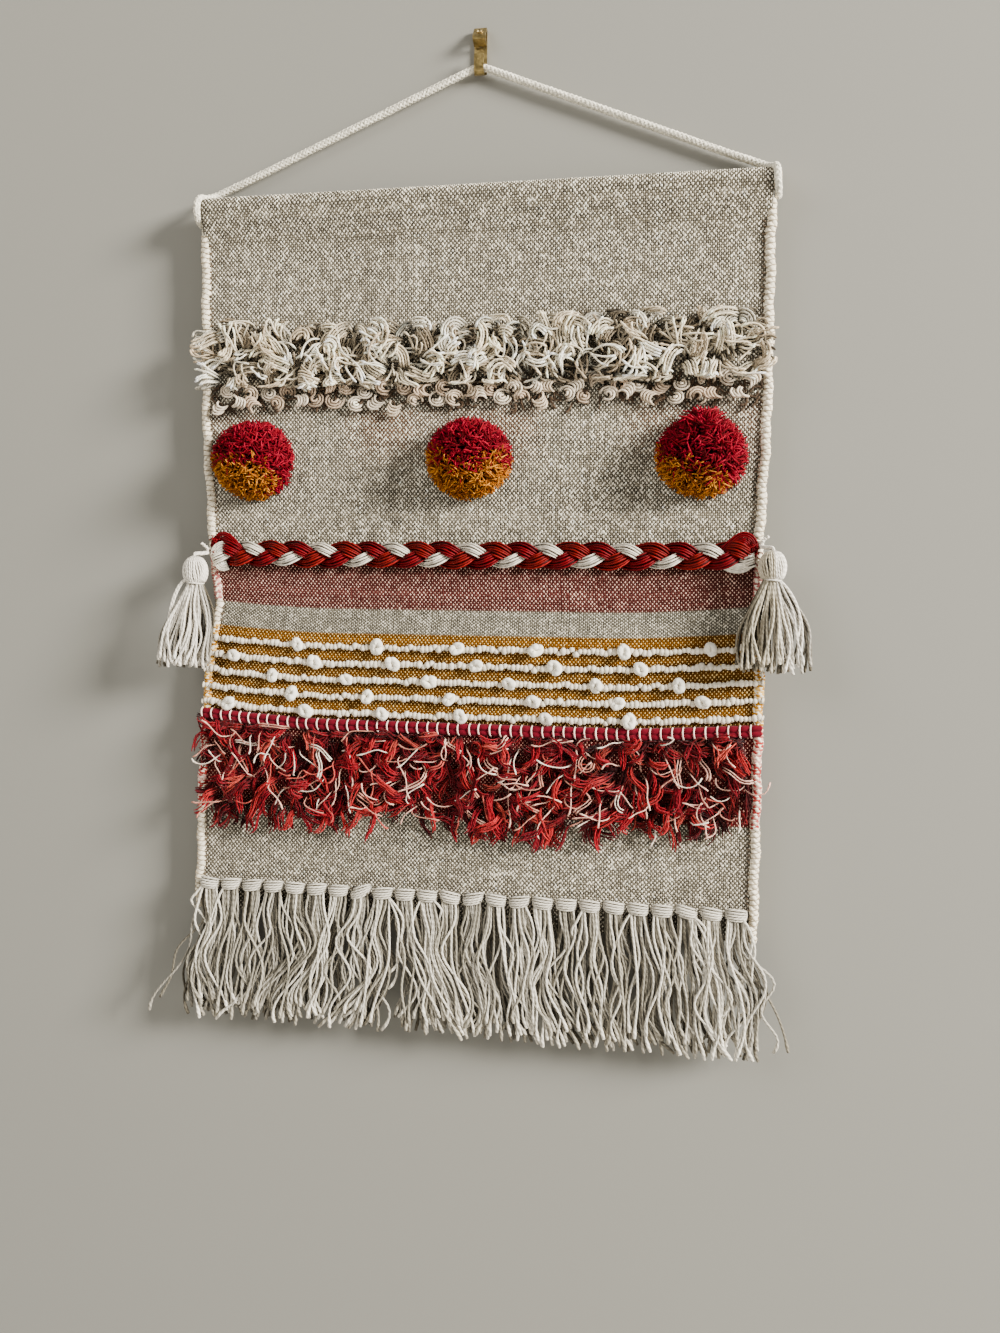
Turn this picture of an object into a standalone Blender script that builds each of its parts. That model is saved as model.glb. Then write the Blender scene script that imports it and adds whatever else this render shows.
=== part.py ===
"""A woven wall hanging on a brass picture hook: cloth on a dowel, hung by a cotton cord.

X runs along the cloth, +Y points into the wall, +Z is up. The origin is on the flat back of the
picture hook, level with the middle of the cord that hangs on it. The wall is the plane Y = 0.
"""

import math

import bmesh
import bpy
from mathutils import Matrix, Vector

GAP = 0.0003  # left between pieces that touch

# Picture hook and nail
HOOK_WIDTH = 0.009
HOOK_SHEET = 0.0012
HOOK_TOP = 0.0266
TONGUE_WIDTH = 0.0068
TONGUE_TOP = 0.0075
NAIL_DIAMETER = 0.0016
NAIL_LENGTH = 0.025
NAIL_HEAD_DIAMETER = 0.0044
NAIL_HEAD_HEIGHT = 0.0014
NAIL_POINT = 0.003
SWING_ROOM = 0.0014  # free height under the cord, so that it can tip on the hook
GUIDE_DEPTH = 0.0086  # how far the nail guide stands out from the wall
GUIDE_LOW = 0.0190  # height of the guide's front corner
SLOT_HEIGHT = 0.0058  # where the nail leaves through the strip

# Cord and dowel
CORD_DIAMETER = 0.0052
ROD_DIAMETER = 0.012
ROD_LENGTH = 0.4146
ROD_DROP = 0.092  # from the cord's top bend down to the dowel's axis
CORD_TURNS = 0.6  # over the front of the dowel's end and under it
CORD_LANE = 0.0054  # along the dowel in a whole turn
CORD_LEAD = 0.0045  # from the end of the route to the first turn, along the dowel
CORD_SIDES = 12  # points in one turn
# The right half of the cord, from the top bend to where it starts round the dowel
CORD_ROUTE = (
    (0.0, -0.0041, 0.0),
    (0.0045, -0.0041, -0.0009),
    (0.014, -0.0041, -0.0047),
    (0.060, -0.0041, -0.0232),
    (0.120, -0.0041, -0.0474),
    (0.170, -0.0041, -0.0676),
    (0.190, -0.0041, -0.0752),
    (0.1985, -0.0057, -0.0793),
)

# Cloth
PANEL_WIDTH = 0.410
PANEL_DROP = 0.5275  # from its top fold to its bottom hem
CLOTH = 0.0024  # thickness
POCKET_DROP = 0.0355  # from the top fold to the seam under the dowel
HEM_DROP = 0.022
SIDE_CORD_DIAMETER = 0.0074
# How far the braid and the beat of the weave draw each edge in, against distance down the cloth
LEFT_DRAW_IN = ((0.0, 0.0), (0.16, 0.0), (0.242, 0.0035), (0.294, 0.0085), (0.345, 0.0015),
                (0.374, -0.002), (0.454, -0.006), (0.53, -0.009))
RIGHT_DRAW_IN = ((0.0, 0.0), (0.16, -0.001), (0.252, 0.0015), (0.30, 0.0), (0.36, -0.0015),
                 (0.53, -0.002))

# Pile and loop rows, as distances below the cloth's top fold
CREAM_SHAG = (0.088, 0.138)
CREAM_SHAG_DEPTH = 0.016
LOOP_ROW_DROP = 0.019
LOOP_ROW_DEPTH = 0.009
RED_ROW = (0.3775, 0.3863)
ROW_DEPTH = 0.0048
RED_SHAG_DROP = 0.080
RED_SHAG_DEPTH = 0.019

# Pom-poms
POM_SIZE = (0.064, 0.030, 0.059)
POM_DROP = 0.1905
POM_INSET = 0.0455  # from the cloth's edge to an outer pom-pom's middle
TIE_THREAD = 0.002
TIE_KNOT = 0.0046
KNOT_DEPTH = 0.006  # from the pom-pom's flat back to the knot inside it

# Braid
BRAID_DROP = 0.2585
BRAID_INSET = 0.001
BRAID_PITCH = 0.055
BRAID_SHIFT = 0.019  # of the pattern, along the cloth
STRAND_DIAMETER = 0.0054
BRAID_SWAY = 0.0078  # each strand's way up and down from the middle
BRAID_WEAVE = 0.0046  # each strand's way in and out
STRAND_STEPS = 12  # per pitch

# White roving rows with bobbles
ROVING_TOP = 0.3241
ROVING_PITCH = 0.0122
ROVING_HEIGHT = 0.0068
BOBBLES = 6
BOBBLE_WIDTH = 0.0125
BOBBLE_MARGIN = 0.85  # of one pitch, left over along a row
BOBBLE_STARTS = (1.05, 0.30, 0.75, 1.05, 0.24)  # of one pitch from each row's left end

# Tassels
TASSEL_DROP = (0.2560, 0.2500)  # left and right ties
TASSEL_OUT = 0.006  # head's middle, outside the cloth's edge
TASSEL_FRONT = 0.0265  # head's middle, in front of the wall
TIE_LENGTH = 0.008
TIE_DIAMETER = 0.0022
HEAD_WIDTH = 0.020
HEAD_HEIGHT = 0.021
NECK_DIAMETER = 0.0125
WRAP_DIAMETER = 0.0022
SKIRT_LENGTH = 0.057
SKIRT_WIDTH = (0.046, 0.056)
SKIRT_DEPTH = 0.014
SKIRT_LEAN = (-0.009, 0.0)  # of the hem, to the side
SKIRT_FORWARD = 0.003  # of the hem, away from the wall

# Fringe
FRINGE_BUNDLES = 24
FRINGE_RISE = 0.021  # its knots, above the hem
FRINGE_INSET = 0.0155
KNOT_HEIGHT = 0.010
KNOT_SPACE = 0.0022
FRINGE_LENGTH = 0.100
STRANDS_DEPTH = 0.006

ROD_Z = -ROD_DROP
ROD_Y = -(HOOK_SHEET + GAP + CORD_DIAMETER / 2) - (ROD_DIAMETER / 2 + GAP + CORD_DIAMETER / 2)
CLOTH_FRONT = ROD_Y - CLOTH / 2
POCKET_RADIUS = ROD_DIAMETER / 2 + GAP
TOP_Z = ROD_Z + POCKET_RADIUS + CLOTH
HEM_Z = TOP_Z - PANEL_DROP
ROW_FRONT = CLOTH_FRONT - GAP - ROW_DEPTH
CORD_ROOM = SIDE_CORD_DIAMETER + 2 * GAP  # taken by a side cord at the cloth's edge

PARTS = bpy.data.collections.new("tapestry_wall_hanging")
CUTTERS = bpy.data.collections.new("cutters")


def clear_scene():
    for obj in list(bpy.data.objects):
        bpy.data.objects.remove(obj, do_unlink=True)
    bpy.context.scene.collection.children.link(PARTS)
    bpy.context.scene.collection.children.link(CUTTERS)


def finish(obj, colour, roughness, metallic=0.0, parent=None):
    """Names the data, gives the piece its own material and hangs it on its pivot."""
    material = bpy.data.materials.new(obj.name)
    material.use_nodes = True
    shader = material.node_tree.nodes["Principled BSDF"]
    shader.inputs["Base Color"].default_value = (*colour, 1.0)
    shader.inputs["Roughness"].default_value = roughness
    shader.inputs["Metallic"].default_value = metallic
    obj.data.materials.clear()
    obj.data.materials.append(material)
    if obj.type == "MESH":
        obj.data.shade_smooth()
        obj.data.set_sharp_from_angle(angle=math.radians(35))
    if obj.name not in PARTS.objects:
        PARTS.objects.link(obj)
    if parent:
        obj.parent = parent
        obj.matrix_parent_inverse = Matrix.Translation(-world_place(parent))
    return obj


def world_place(pivot):
    place = pivot.location.copy()
    return place if pivot.parent is None else world_place(pivot.parent) + place


def add_pivot(name, place, parent=None):
    """An empty on a joint's axis, at a world place."""
    pivot = bpy.data.objects.new(name, None)
    pivot.empty_display_size = 0.01
    PARTS.objects.link(pivot)
    pivot.parent = parent
    pivot.location = Vector(place) - (world_place(parent) if parent else Vector())
    return pivot


def mesh_object(name, bm, place=(0, 0, 0)):
    mesh = bpy.data.meshes.new(name)
    bmesh.ops.recalc_face_normals(bm, faces=bm.faces)
    bm.to_mesh(mesh)
    bm.free()
    obj = bpy.data.objects.new(name, mesh)
    obj.location = place
    return obj


def curve_object(name, points, radius):
    curve = bpy.data.curves.new(name, "CURVE")
    curve.dimensions = "3D"
    curve.bevel_depth = radius
    curve.bevel_resolution = 2
    curve.use_fill_caps = True
    spline = curve.splines.new("POLY")
    spline.points.add(len(points) - 1)
    for target, point in zip(spline.points, points):
        target.co = (*point, 1.0)
    return bpy.data.objects.new(name, curve)


def flat_object(name, outlines, thickness, place=(0, 0, 0), turn=(0, 0, 0)):
    """A closed outline, with any holes, thickened both ways. It comes back as a mesh."""
    curve = bpy.data.curves.new(name + "_outline", "CURVE")
    curve.dimensions = "2D"
    curve.fill_mode = "BOTH"
    curve.extrude = thickness / 2
    for outline in outlines:
        spline = curve.splines.new("POLY")
        spline.points.add(len(outline) - 1)
        spline.use_cyclic_u = True
        for target, (a, b) in zip(spline.points, outline):
            target.co = (a, b, 0.0, 1.0)
    guide = bpy.data.objects.new(name + "_outline", curve)
    CUTTERS.objects.link(guide)
    bpy.context.view_layer.update()
    mesh = bpy.data.meshes.new_from_object(guide.evaluated_get(bpy.context.evaluated_depsgraph_get()))
    bpy.data.objects.remove(guide, do_unlink=True)
    bm = bmesh.new()
    bm.from_mesh(mesh)
    bmesh.ops.remove_doubles(bm, verts=bm.verts, dist=0.00001)
    bpy.data.meshes.remove(mesh)
    obj = mesh_object(name, bm, place)
    obj.rotation_euler = turn
    return obj


FACING_FRONT = (math.radians(90), 0, 0)  # an outline of (x, z) points
SEEN_FROM_THE_SIDE = (math.radians(90), 0, math.radians(90))  # an outline of (y, z) points


def turned_object(name, profile, steps, place=(0, 0, 0), turn=(0, 0, 0)):
    """A profile of (radius, height) points, top to bottom, turned about its own Z."""
    bm = bmesh.new()
    verts = [bm.verts.new((r, 0.0, z)) for r, z in profile]
    for a, b in zip(verts, verts[1:]):
        bm.edges.new((a, b))
    mesh = bpy.data.meshes.new(name)
    bm.to_mesh(mesh)
    bm.free()
    obj = bpy.data.objects.new(name, mesh)
    screw = obj.modifiers.new("turn", "SCREW")
    screw.steps = steps
    screw.render_steps = steps
    screw.use_merge_vertices = True
    screw.merge_threshold = 0.00001
    obj.location = place
    obj.rotation_euler = turn
    return obj


def boolean(obj, cutters, operation):
    for cutter in cutters:
        CUTTERS.objects.link(cutter)
        cutter.hide_render = True
        cutter.display_type = "WIRE"
        step = obj.modifiers.new(cutter.name, "BOOLEAN")
        step.operation = operation
        step.solver = "EXACT"
        step.object = cutter
    return obj


def cylinder(name, radius, length, place, turn, sides=16):
    bm = bmesh.new()
    bmesh.ops.create_cone(bm, cap_ends=True, segments=sides, radius1=radius, radius2=radius, depth=length)
    obj = mesh_object(name, bm, place)
    obj.rotation_euler = turn
    return obj


def box(name, size, place):
    bm = bmesh.new()
    bmesh.ops.create_cube(bm, size=1.0)
    bmesh.ops.scale(bm, vec=size, verts=bm.verts)
    return mesh_object(name, bm, place)


def smooth_through(points, step):
    """Evenly read points on a Catmull-Rom curve through the given ones."""
    ends = [2 * points[0] - points[1], *points, 2 * points[-1] - points[-2]]
    result = [points[0]]
    for a, b, c, d in zip(ends, ends[1:], ends[2:], ends[3:]):
        count = max(1, round((c - b).length / step))
        for i in range(1, count + 1):
            t = i / count
            result.append(0.5 * (2 * b + (c - a) * t + (2 * a - 5 * b + 4 * c - d) * t**2
                                 + (3 * b - a - 3 * c + d) * t**3))
    return result


def edge_x(side, down):
    """The cloth's outer edge at a distance below its top fold; side is -1 left, 1 right."""
    table = LEFT_DRAW_IN if side < 0 else RIGHT_DRAW_IN
    draw = table[-1][1]
    for (d0, v0), (d1, v1) in zip(table, table[1:]):
        if d0 <= down <= d1:
            share = (1 - math.cos(math.pi * (down - d0) / (d1 - d0))) / 2
            draw = v0 + (v1 - v0) * share
            break
    return side * (PANEL_WIDTH / 2 - draw)


def make_hook():
    """A strip bent over at the top to guide the nail and curled up in front at the bottom."""
    plate_y = -HOOK_SHEET / 2
    bend = (CORD_DIAMETER + 2 * GAP + HOOK_SHEET) / 2
    cord_y = plate_y - bend
    curl_z = -(CORD_DIAMETER / 2 + SWING_ROOM) + bend - HOOK_SHEET / 2
    guide_end = (plate_y - 0.0018, GUIDE_LOW - 0.0036)
    guide_bend = (-GUIDE_DEPTH + 0.0004, GUIDE_LOW - 0.0014)
    guide_corner = (-GUIDE_DEPTH, GUIDE_LOW)
    top_bend = [(plate_y - 0.0022, HOOK_TOP), (plate_y - 0.0006, HOOK_TOP), (plate_y, HOOK_TOP - 0.0008)]
    low_face = (plate_y, TONGUE_TOP + 0.0005)  # below it, the flat face behind the cord
    strip = [guide_end, guide_bend, guide_corner, *top_bend, low_face, (plate_y, curl_z)]
    curl_steps = 8
    for i in range(1, curl_steps):
        angle = -math.pi * i / curl_steps
        strip.append((cord_y + bend * math.cos(angle), curl_z + bend * math.sin(angle)))
    strip += [(cord_y - bend, curl_z), (cord_y - bend, TONGUE_TOP)]
    bm = bmesh.new()
    left = [bm.verts.new((-HOOK_WIDTH / 2, y, z)) for y, z in strip]
    right = [bm.verts.new((HOOK_WIDTH / 2, y, z)) for y, z in strip]
    for a, b, c, d in zip(left, left[1:], right[1:], right):
        bm.faces.new((a, b, c, d))
    mesh = bpy.data.meshes.new("picture_hook")
    bm.to_mesh(mesh)
    bm.free()
    hook = bpy.data.objects.new("picture_hook", mesh)
    solid = hook.modifiers.new("sheet", "SOLIDIFY")
    solid.thickness = HOOK_SHEET
    solid.offset = 0.0
    solid.use_even_offset = True

    face_top, face_low = Vector((0, *top_bend[0])), Vector((0, *guide_corner))
    middle = (face_top + face_low) / 2
    slope = (face_top - face_low).normalized()
    into_wall = Vector((0, slope.z, -slope.y))
    turn = into_wall.to_track_quat("Z", "Y").to_euler()
    clear = NAIL_DIAMETER / 2 + GAP
    front_hole = cylinder("nail_hole", clear, 5 * HOOK_SHEET, middle, turn)
    at_plate = middle + into_wall * ((plate_y - middle.y) / into_wall.y)
    slot_place = at_plate - Vector((0, 0, HOOK_SHEET * 0.8))
    back_slot = box("nail_slot", (2 * clear, 4 * HOOK_SHEET, SLOT_HEIGHT), slot_place)
    trims = []
    trim_height = TONGUE_TOP + HOOK_SHEET - curl_z + bend
    trim_depth = 2 * bend + HOOK_SHEET
    for side in (-1, 1):
        trims.append(box(f"tongue_trim_{side}", (HOOK_WIDTH, trim_depth, trim_height * 2),
                         (side * (TONGUE_WIDTH + HOOK_WIDTH) / 2, -HOOK_SHEET - trim_depth / 2,
                          curl_z - bend)))
    boolean(hook, [front_hole, back_slot, *trims], "DIFFERENCE")
    finish(hook, (0.42, 0.32, 0.14), 0.35, 1.0)

    head = NAIL_HEAD_DIAMETER / 2
    shank = NAIL_DIAMETER / 2
    top = -(HOOK_SHEET / 2 + GAP)
    profile = [(0.0, top - NAIL_HEAD_HEIGHT), (head * 0.6, top - NAIL_HEAD_HEIGHT * 0.85),
               (head, top - NAIL_HEAD_HEIGHT * 0.3), (head, top), (shank, top),
               (shank, top + NAIL_LENGTH - NAIL_POINT), (0.0, top + NAIL_LENGTH)]
    nail = turned_object("hook_nail", list(reversed(profile)), 16, middle, turn)
    finish(nail, (0.50, 0.40, 0.22), 0.3, 1.0)


def cord_points():
    """Hand-chosen runs to each corner, then turns round the dowel's end worked out in a loop."""
    run = [Vector(p) for p in CORD_ROUTE]
    radius = (ROD_DIAMETER / 2 + GAP + CORD_DIAMETER / 2) / math.cos(math.pi / CORD_SIDES)
    first_x = run[-1].x + CORD_LEAD
    turns = []
    for i in range(round(CORD_TURNS * CORD_SIDES) + 1):
        angle = math.tau * (0.25 + i / CORD_SIDES)
        turns.append(Vector((first_x + CORD_LANE * i / CORD_SIDES, ROD_Y + radius * math.cos(angle),
                             ROD_Z + radius * math.sin(angle))))
    half = smooth_through(run + turns[:1], 0.014) + turns[1:]
    left = [Vector((-p.x, p.y, p.z)) for p in reversed(half)]
    return left + half[1:]


def make_hanger(pivot):
    cord = curve_object("hanger_cord", cord_points(), CORD_DIAMETER / 2)
    finish(cord, (0.80, 0.76, 0.66), 0.95, parent=pivot)


def make_rod(pivot):
    rod = cylinder("top_rod", ROD_DIAMETER / 2, ROD_LENGTH, (0, ROD_Y, ROD_Z), (0, math.radians(90), 0), 24)
    finish(rod, (0.62, 0.44, 0.26), 0.6, parent=pivot)


def arc(radius, start, end, count):
    """(y, z) points round the dowel, in degrees."""
    angles = [math.radians(start + (end - start) * i / count) for i in range(count + 1)]
    return [(ROD_Y + radius * math.cos(a), ROD_Z + radius * math.sin(a)) for a in angles]


def make_cloth(pivot):
    """One cloth: flat, with a pocket round the dowel and its bottom edge turned up behind."""
    seam = TOP_Z - POCKET_DROP
    lap = CLOTH  # the flat cloth starts inside the pocket's seam and ends inside the hem
    start, count = POCKET_DROP - lap, 24
    downs = [start + (PANEL_DROP - lap / 4 - start) * i / count for i in range(count + 1)]
    left = [(edge_x(-1, d) + CORD_ROOM, TOP_Z - d) for d in downs]
    right = [(edge_x(1, d) - CORD_ROOM, TOP_Z - d) for d in downs]
    cloth = flat_object("woven_panel", [left + right[::-1]], CLOTH, (0, ROD_Y, 0), FACING_FRONT)

    half_seam = CLOTH / 2 + GAP
    outer = arc(POCKET_RADIUS + CLOTH, -20, 200, 20) + [(ROD_Y - half_seam, seam), (ROD_Y + half_seam, seam)]
    inner = arc(POCKET_RADIUS, -20, 200, 16) + [(ROD_Y, seam + 4 * CLOTH)]
    width = PANEL_WIDTH - 2 * (CORD_ROOM + GAP)
    pocket = flat_object("rod_pocket", [outer, inner], width, turn=SEEN_FROM_THE_SIDE)

    left_x, right_x = edge_x(-1, PANEL_DROP) + CORD_ROOM + GAP, edge_x(1, PANEL_DROP) - CORD_ROOM - GAP
    outline = [(left_x, HEM_Z), (right_x, HEM_Z), (right_x, HEM_Z + HEM_DROP), (left_x, HEM_Z + HEM_DROP)]
    hem = flat_object("hem_fold", [outline], CLOTH * 1.5, (0, ROD_Y + CLOTH * 0.5, 0), FACING_FRONT)
    boolean(cloth, [pocket, hem], "UNION")

    holes = []
    for x in pom_places():
        holes.append(cylinder(f"tie_hole_{len(holes)}", TIE_THREAD / 2 + GAP, CLOTH * 3,
                              (x, ROD_Y, TOP_Z - POM_DROP), (math.radians(90), 0, 0), 10))
    boolean(cloth, holes, "DIFFERENCE")
    finish(cloth, (0.55, 0.51, 0.45), 0.95, parent=pivot)

    below_turns = 2 * POCKET_RADIUS + CLOTH + CORD_DIAMETER + 3 * GAP
    for side, name in ((-1, "side_cord_left"), (1, "side_cord_right")):
        points = []
        for i in range(count + 1):
            down = below_turns + (PANEL_DROP - below_turns) * i / count
            points.append((edge_x(side, down) - side * SIDE_CORD_DIAMETER / 2, ROD_Y, TOP_Z - down))
        cord = curve_object(name, points, SIDE_CORD_DIAMETER / 2)
        finish(cord, (0.80, 0.77, 0.70), 0.95, parent=pivot)


def band_ends(downs):
    """The left and right ends of a row that lies between the side cords."""
    return max(edge_x(-1, d) for d in downs) + CORD_ROOM, min(edge_x(1, d) for d in downs) - CORD_ROOM


def soft_band(name, section):
    """A soft row along the cloth, from a (depth, distance down) section seen from the side."""
    left, right = band_ends([down for _, down in section])
    outline = [(CLOTH_FRONT - GAP - depth, TOP_Z - down) for depth, down in section]
    return flat_object(name, [outline], right - left, ((left + right) / 2, 0, 0), SEEN_FROM_THE_SIDE)


def make_pile(pivot):
    top, low = CREAM_SHAG
    deep = CREAM_SHAG_DEPTH
    shag = soft_band("cream_shag", [(0, top), (deep * 0.35, top), (deep * 0.8, top + 0.012),
                                    (deep, top + 0.028), (deep * 0.9, low - 0.004), (deep * 0.5, low),
                                    (0, low)])
    finish(shag, (0.78, 0.74, 0.66), 0.95, parent=pivot)
    top, low, deep = low + GAP, low + GAP + LOOP_ROW_DROP, LOOP_ROW_DEPTH
    loops = soft_band("cream_loop_row", [(0, top), (deep * 0.8, top), (deep, top + 0.007),
                                         (deep * 0.8, low - 0.003), (deep * 0.4, low), (0, low)])
    finish(loops, (0.70, 0.63, 0.56), 0.95, parent=pivot)
    top, low = RED_ROW
    row = soft_band("red_roving_row", [(0, top), (ROW_DEPTH * 0.6, top), (ROW_DEPTH, top + 0.003),
                                       (ROW_DEPTH, low - 0.003), (ROW_DEPTH * 0.6, low), (0, low)])
    finish(row, (0.50, 0.05, 0.04), 0.95, parent=pivot)
    top, low, deep = low + GAP, low + GAP + RED_SHAG_DROP, RED_SHAG_DEPTH
    shag = soft_band("red_shag", [(0, top), (deep * 0.3, top), (deep * 0.65, top + 0.018),
                                  (deep * 0.9, top + 0.045), (deep, low - 0.016),
                                  (deep * 0.75, low - 0.003), (deep * 0.3, low), (0, low)])
    finish(shag, (0.62, 0.07, 0.06), 0.95, parent=pivot)


def pom_places():
    outer = PANEL_WIDTH / 2 - POM_INSET
    return (-outer, 0.0, outer)


def make_pompoms(pivot):
    """Each is a dome of cut yarn, flat at the back, on a knotted thread through the cloth."""
    wide, deep, high = POM_SIZE
    knot, thread = TIE_KNOT / 2, TIE_THREAD / 2
    back_y = CLOTH_FRONT - GAP
    for x, name in zip(pom_places(), ("left", "middle", "right")):
        place = (x, back_y - deep * 0.42, TOP_Z - POM_DROP)
        bm = bmesh.new()
        bmesh.ops.create_uvsphere(bm, u_segments=24, v_segments=12, radius=0.5)
        bmesh.ops.scale(bm, vec=(wide, deep * 1.16, high), verts=bm.verts)
        pom = mesh_object(f"pompom_{name}", bm, place)
        back = box(f"pompom_back_{name}", (wide * 2, deep, high * 2), (x, back_y + deep / 2, place[2]))
        socket = cylinder(f"pompom_socket_{name}", knot + GAP, 2 * (KNOT_DEPTH + knot + GAP),
                          (x, back_y, place[2]), (math.radians(90), 0, 0), 12)
        boolean(pom, [back, socket], "DIFFERENCE")
        turn_pivot = add_pivot(f"pompom_pivot_{name}", place, pivot)
        finish(pom, (0.45, 0.02, 0.05), 0.95, parent=turn_pivot)

        behind = -(CLOTH + GAP * 2 + knot)
        profile = [(0.0, KNOT_DEPTH + knot)]
        profile += [(knot * r, KNOT_DEPTH + knot * h) for r, h in ((0.8, 0.6), (1.0, 0.0), (0.8, -0.6))]
        profile += [(thread, KNOT_DEPTH - knot), (thread, behind + knot)]
        profile += [(knot * r, behind + knot * h) for r, h in ((0.8, 0.6), (1.0, 0.0), (0.8, -0.6))]
        profile += [(0.0, behind - knot)]
        tie = turned_object(f"pompom_tie_{name}", profile, 12, (x, back_y, place[2]),
                            (math.radians(90), 0, 0))
        finish(tie, (0.40, 0.05, 0.05), 0.9, parent=pivot)


def make_braid(pivot):
    """Three strands plaited flat: each sways once per pitch and dips in and out twice."""
    left = edge_x(-1, BRAID_DROP) + CORD_ROOM + BRAID_INSET
    right = edge_x(1, BRAID_DROP) - CORD_ROOM - BRAID_INSET
    middle_y = CLOTH_FRONT - GAP - STRAND_DIAMETER / 2 - BRAID_WEAVE
    steps = round((right - left) / BRAID_PITCH * STRAND_STEPS)
    strands = (("braid_strand_red", 0, (0.50, 0.01, 0.03)), ("braid_strand_rust", 1, (0.55, 0.08, 0.02)),
               ("braid_strand_white", 2, (0.72, 0.70, 0.66)))
    for name, order, colour in strands:
        points = []
        for i in range(steps + 1):
            x = left + (right - left) * i / steps
            angle = math.tau * ((x - BRAID_SHIFT) / BRAID_PITCH + order / 3)
            points.append((x, middle_y + BRAID_WEAVE * math.sin(2 * angle),
                           TOP_Z - BRAID_DROP + BRAID_SWAY * math.sin(angle)))
        finish(curve_object(name, points, STRAND_DIAMETER / 2), colour, 0.9, parent=pivot)


def make_roving_rows(pivot):
    """Thick white wefts, each with loops of itself pulled up into bobbles."""
    pitch = PANEL_WIDTH / (BOBBLES + BOBBLE_MARGIN)
    for row, start in enumerate(BOBBLE_STARTS):
        down = ROVING_TOP + ROVING_PITCH * row
        half = ROVING_HEIGHT / 2
        section = [(0, down - half), (ROW_DEPTH * 0.7, down - half * 0.9), (ROW_DEPTH, down - half * 0.3),
                   (ROW_DEPTH, down + half * 0.3), (ROW_DEPTH * 0.7, down + half * 0.9), (0, down + half)]
        bar = soft_band(f"roving_row_{row + 1}", section)
        left_end, _ = band_ends((down - half, down + half))
        bobbles = []
        for i in range(BOBBLES):
            bm = bmesh.new()
            bmesh.ops.create_icosphere(bm, subdivisions=1, radius=BOBBLE_WIDTH / 2)
            bmesh.ops.scale(bm, vec=(1.0, 0.75, 0.76), verts=bm.verts)
            place = (left_end + pitch * (start + i), ROW_FRONT, TOP_Z - down + ROVING_HEIGHT * 0.12)
            bobbles.append(mesh_object(f"bobble_{row + 1}_{i + 1}", bm, place))
        boolean(bar, bobbles, "UNION")
        finish(bar, (0.80, 0.78, 0.72), 0.95, parent=pivot)


def make_tassel(index, side, name, pivot):
    """A tie on the cloth's edge, then a head, a wrapped neck and a skirt of cut yarn."""
    tie_z = TOP_Z - TASSEL_DROP[index]
    edge = edge_x(side, TASSEL_DROP[index])
    tie_x = edge - side * SIDE_CORD_DIAMETER / 2
    head_x = edge + side * TASSEL_OUT
    tie_radius = TIE_DIAMETER / 2
    tie_y = ROD_Y - SIDE_CORD_DIAMETER / 2 - GAP - tie_radius
    swing = add_pivot(f"tassel_swing_{name}", (tie_x, tie_y, tie_z), pivot)
    head_top = tie_z - TIE_LENGTH
    half_way = ((tie_x + head_x) / 2, (tie_y - TASSEL_FRONT) / 2, tie_z - TIE_LENGTH * 0.6)
    route = [(tie_x, tie_y, tie_z + TIE_LENGTH / 4), (tie_x, tie_y, tie_z - TIE_LENGTH / 16), half_way,
             (head_x, -TASSEL_FRONT, head_top + TIE_LENGTH / 5), (head_x, -TASSEL_FRONT, head_top + 2 * GAP)]
    points = smooth_through([Vector(p) for p in route], 0.003)
    finish(curve_object(f"tassel_tie_{name}", points, tie_radius), (0.74, 0.72, 0.68), 0.95, parent=swing)

    tilt = add_pivot(f"tassel_tilt_{name}", (head_x, -TASSEL_FRONT, head_top), swing)
    half, high = HEAD_WIDTH / 2, HEAD_HEIGHT
    core = NECK_DIAMETER * 0.35  # the bound middle of the neck, inside the wrap
    profile = [(0.0, 0.0), (half * 0.38, -high * 0.13), (half * 0.85, -high * 0.34), (half, -high * 0.55),
               (half * 0.9, -high * 0.8), (core, -high), (0.0, -high)]
    head = turned_object(f"tassel_head_{name}", profile, 20, (head_x, -TASSEL_FRONT, head_top))
    head.scale = (1.0, 0.85, 1.0)
    finish(head, (0.74, 0.72, 0.68), 0.95, parent=tilt)

    neck_z = head_top - high - GAP - WRAP_DIAMETER / 2
    wrap_bm = bmesh.new()
    bmesh.ops.create_circle(wrap_bm, segments=8, radius=WRAP_DIAMETER / 2)
    bmesh.ops.rotate(wrap_bm, verts=wrap_bm.verts, matrix=Matrix.Rotation(math.radians(90), 3, "X"))
    bmesh.ops.translate(wrap_bm, verts=wrap_bm.verts, vec=(core + GAP + WRAP_DIAMETER / 2, 0, 0))
    bmesh.ops.spin(wrap_bm, geom=wrap_bm.verts[:] + wrap_bm.edges[:], cent=(0, 0, 0), axis=(0, 0, 1),
                   angle=math.tau, steps=20, use_merge=True)
    wrap = mesh_object(f"tassel_wrap_{name}", wrap_bm, (head_x, -TASSEL_FRONT, neck_z))
    finish(wrap, (0.80, 0.78, 0.74), 0.95, parent=tilt)

    make_skirt(index, name, head_x, neck_z, core, tilt)


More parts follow.
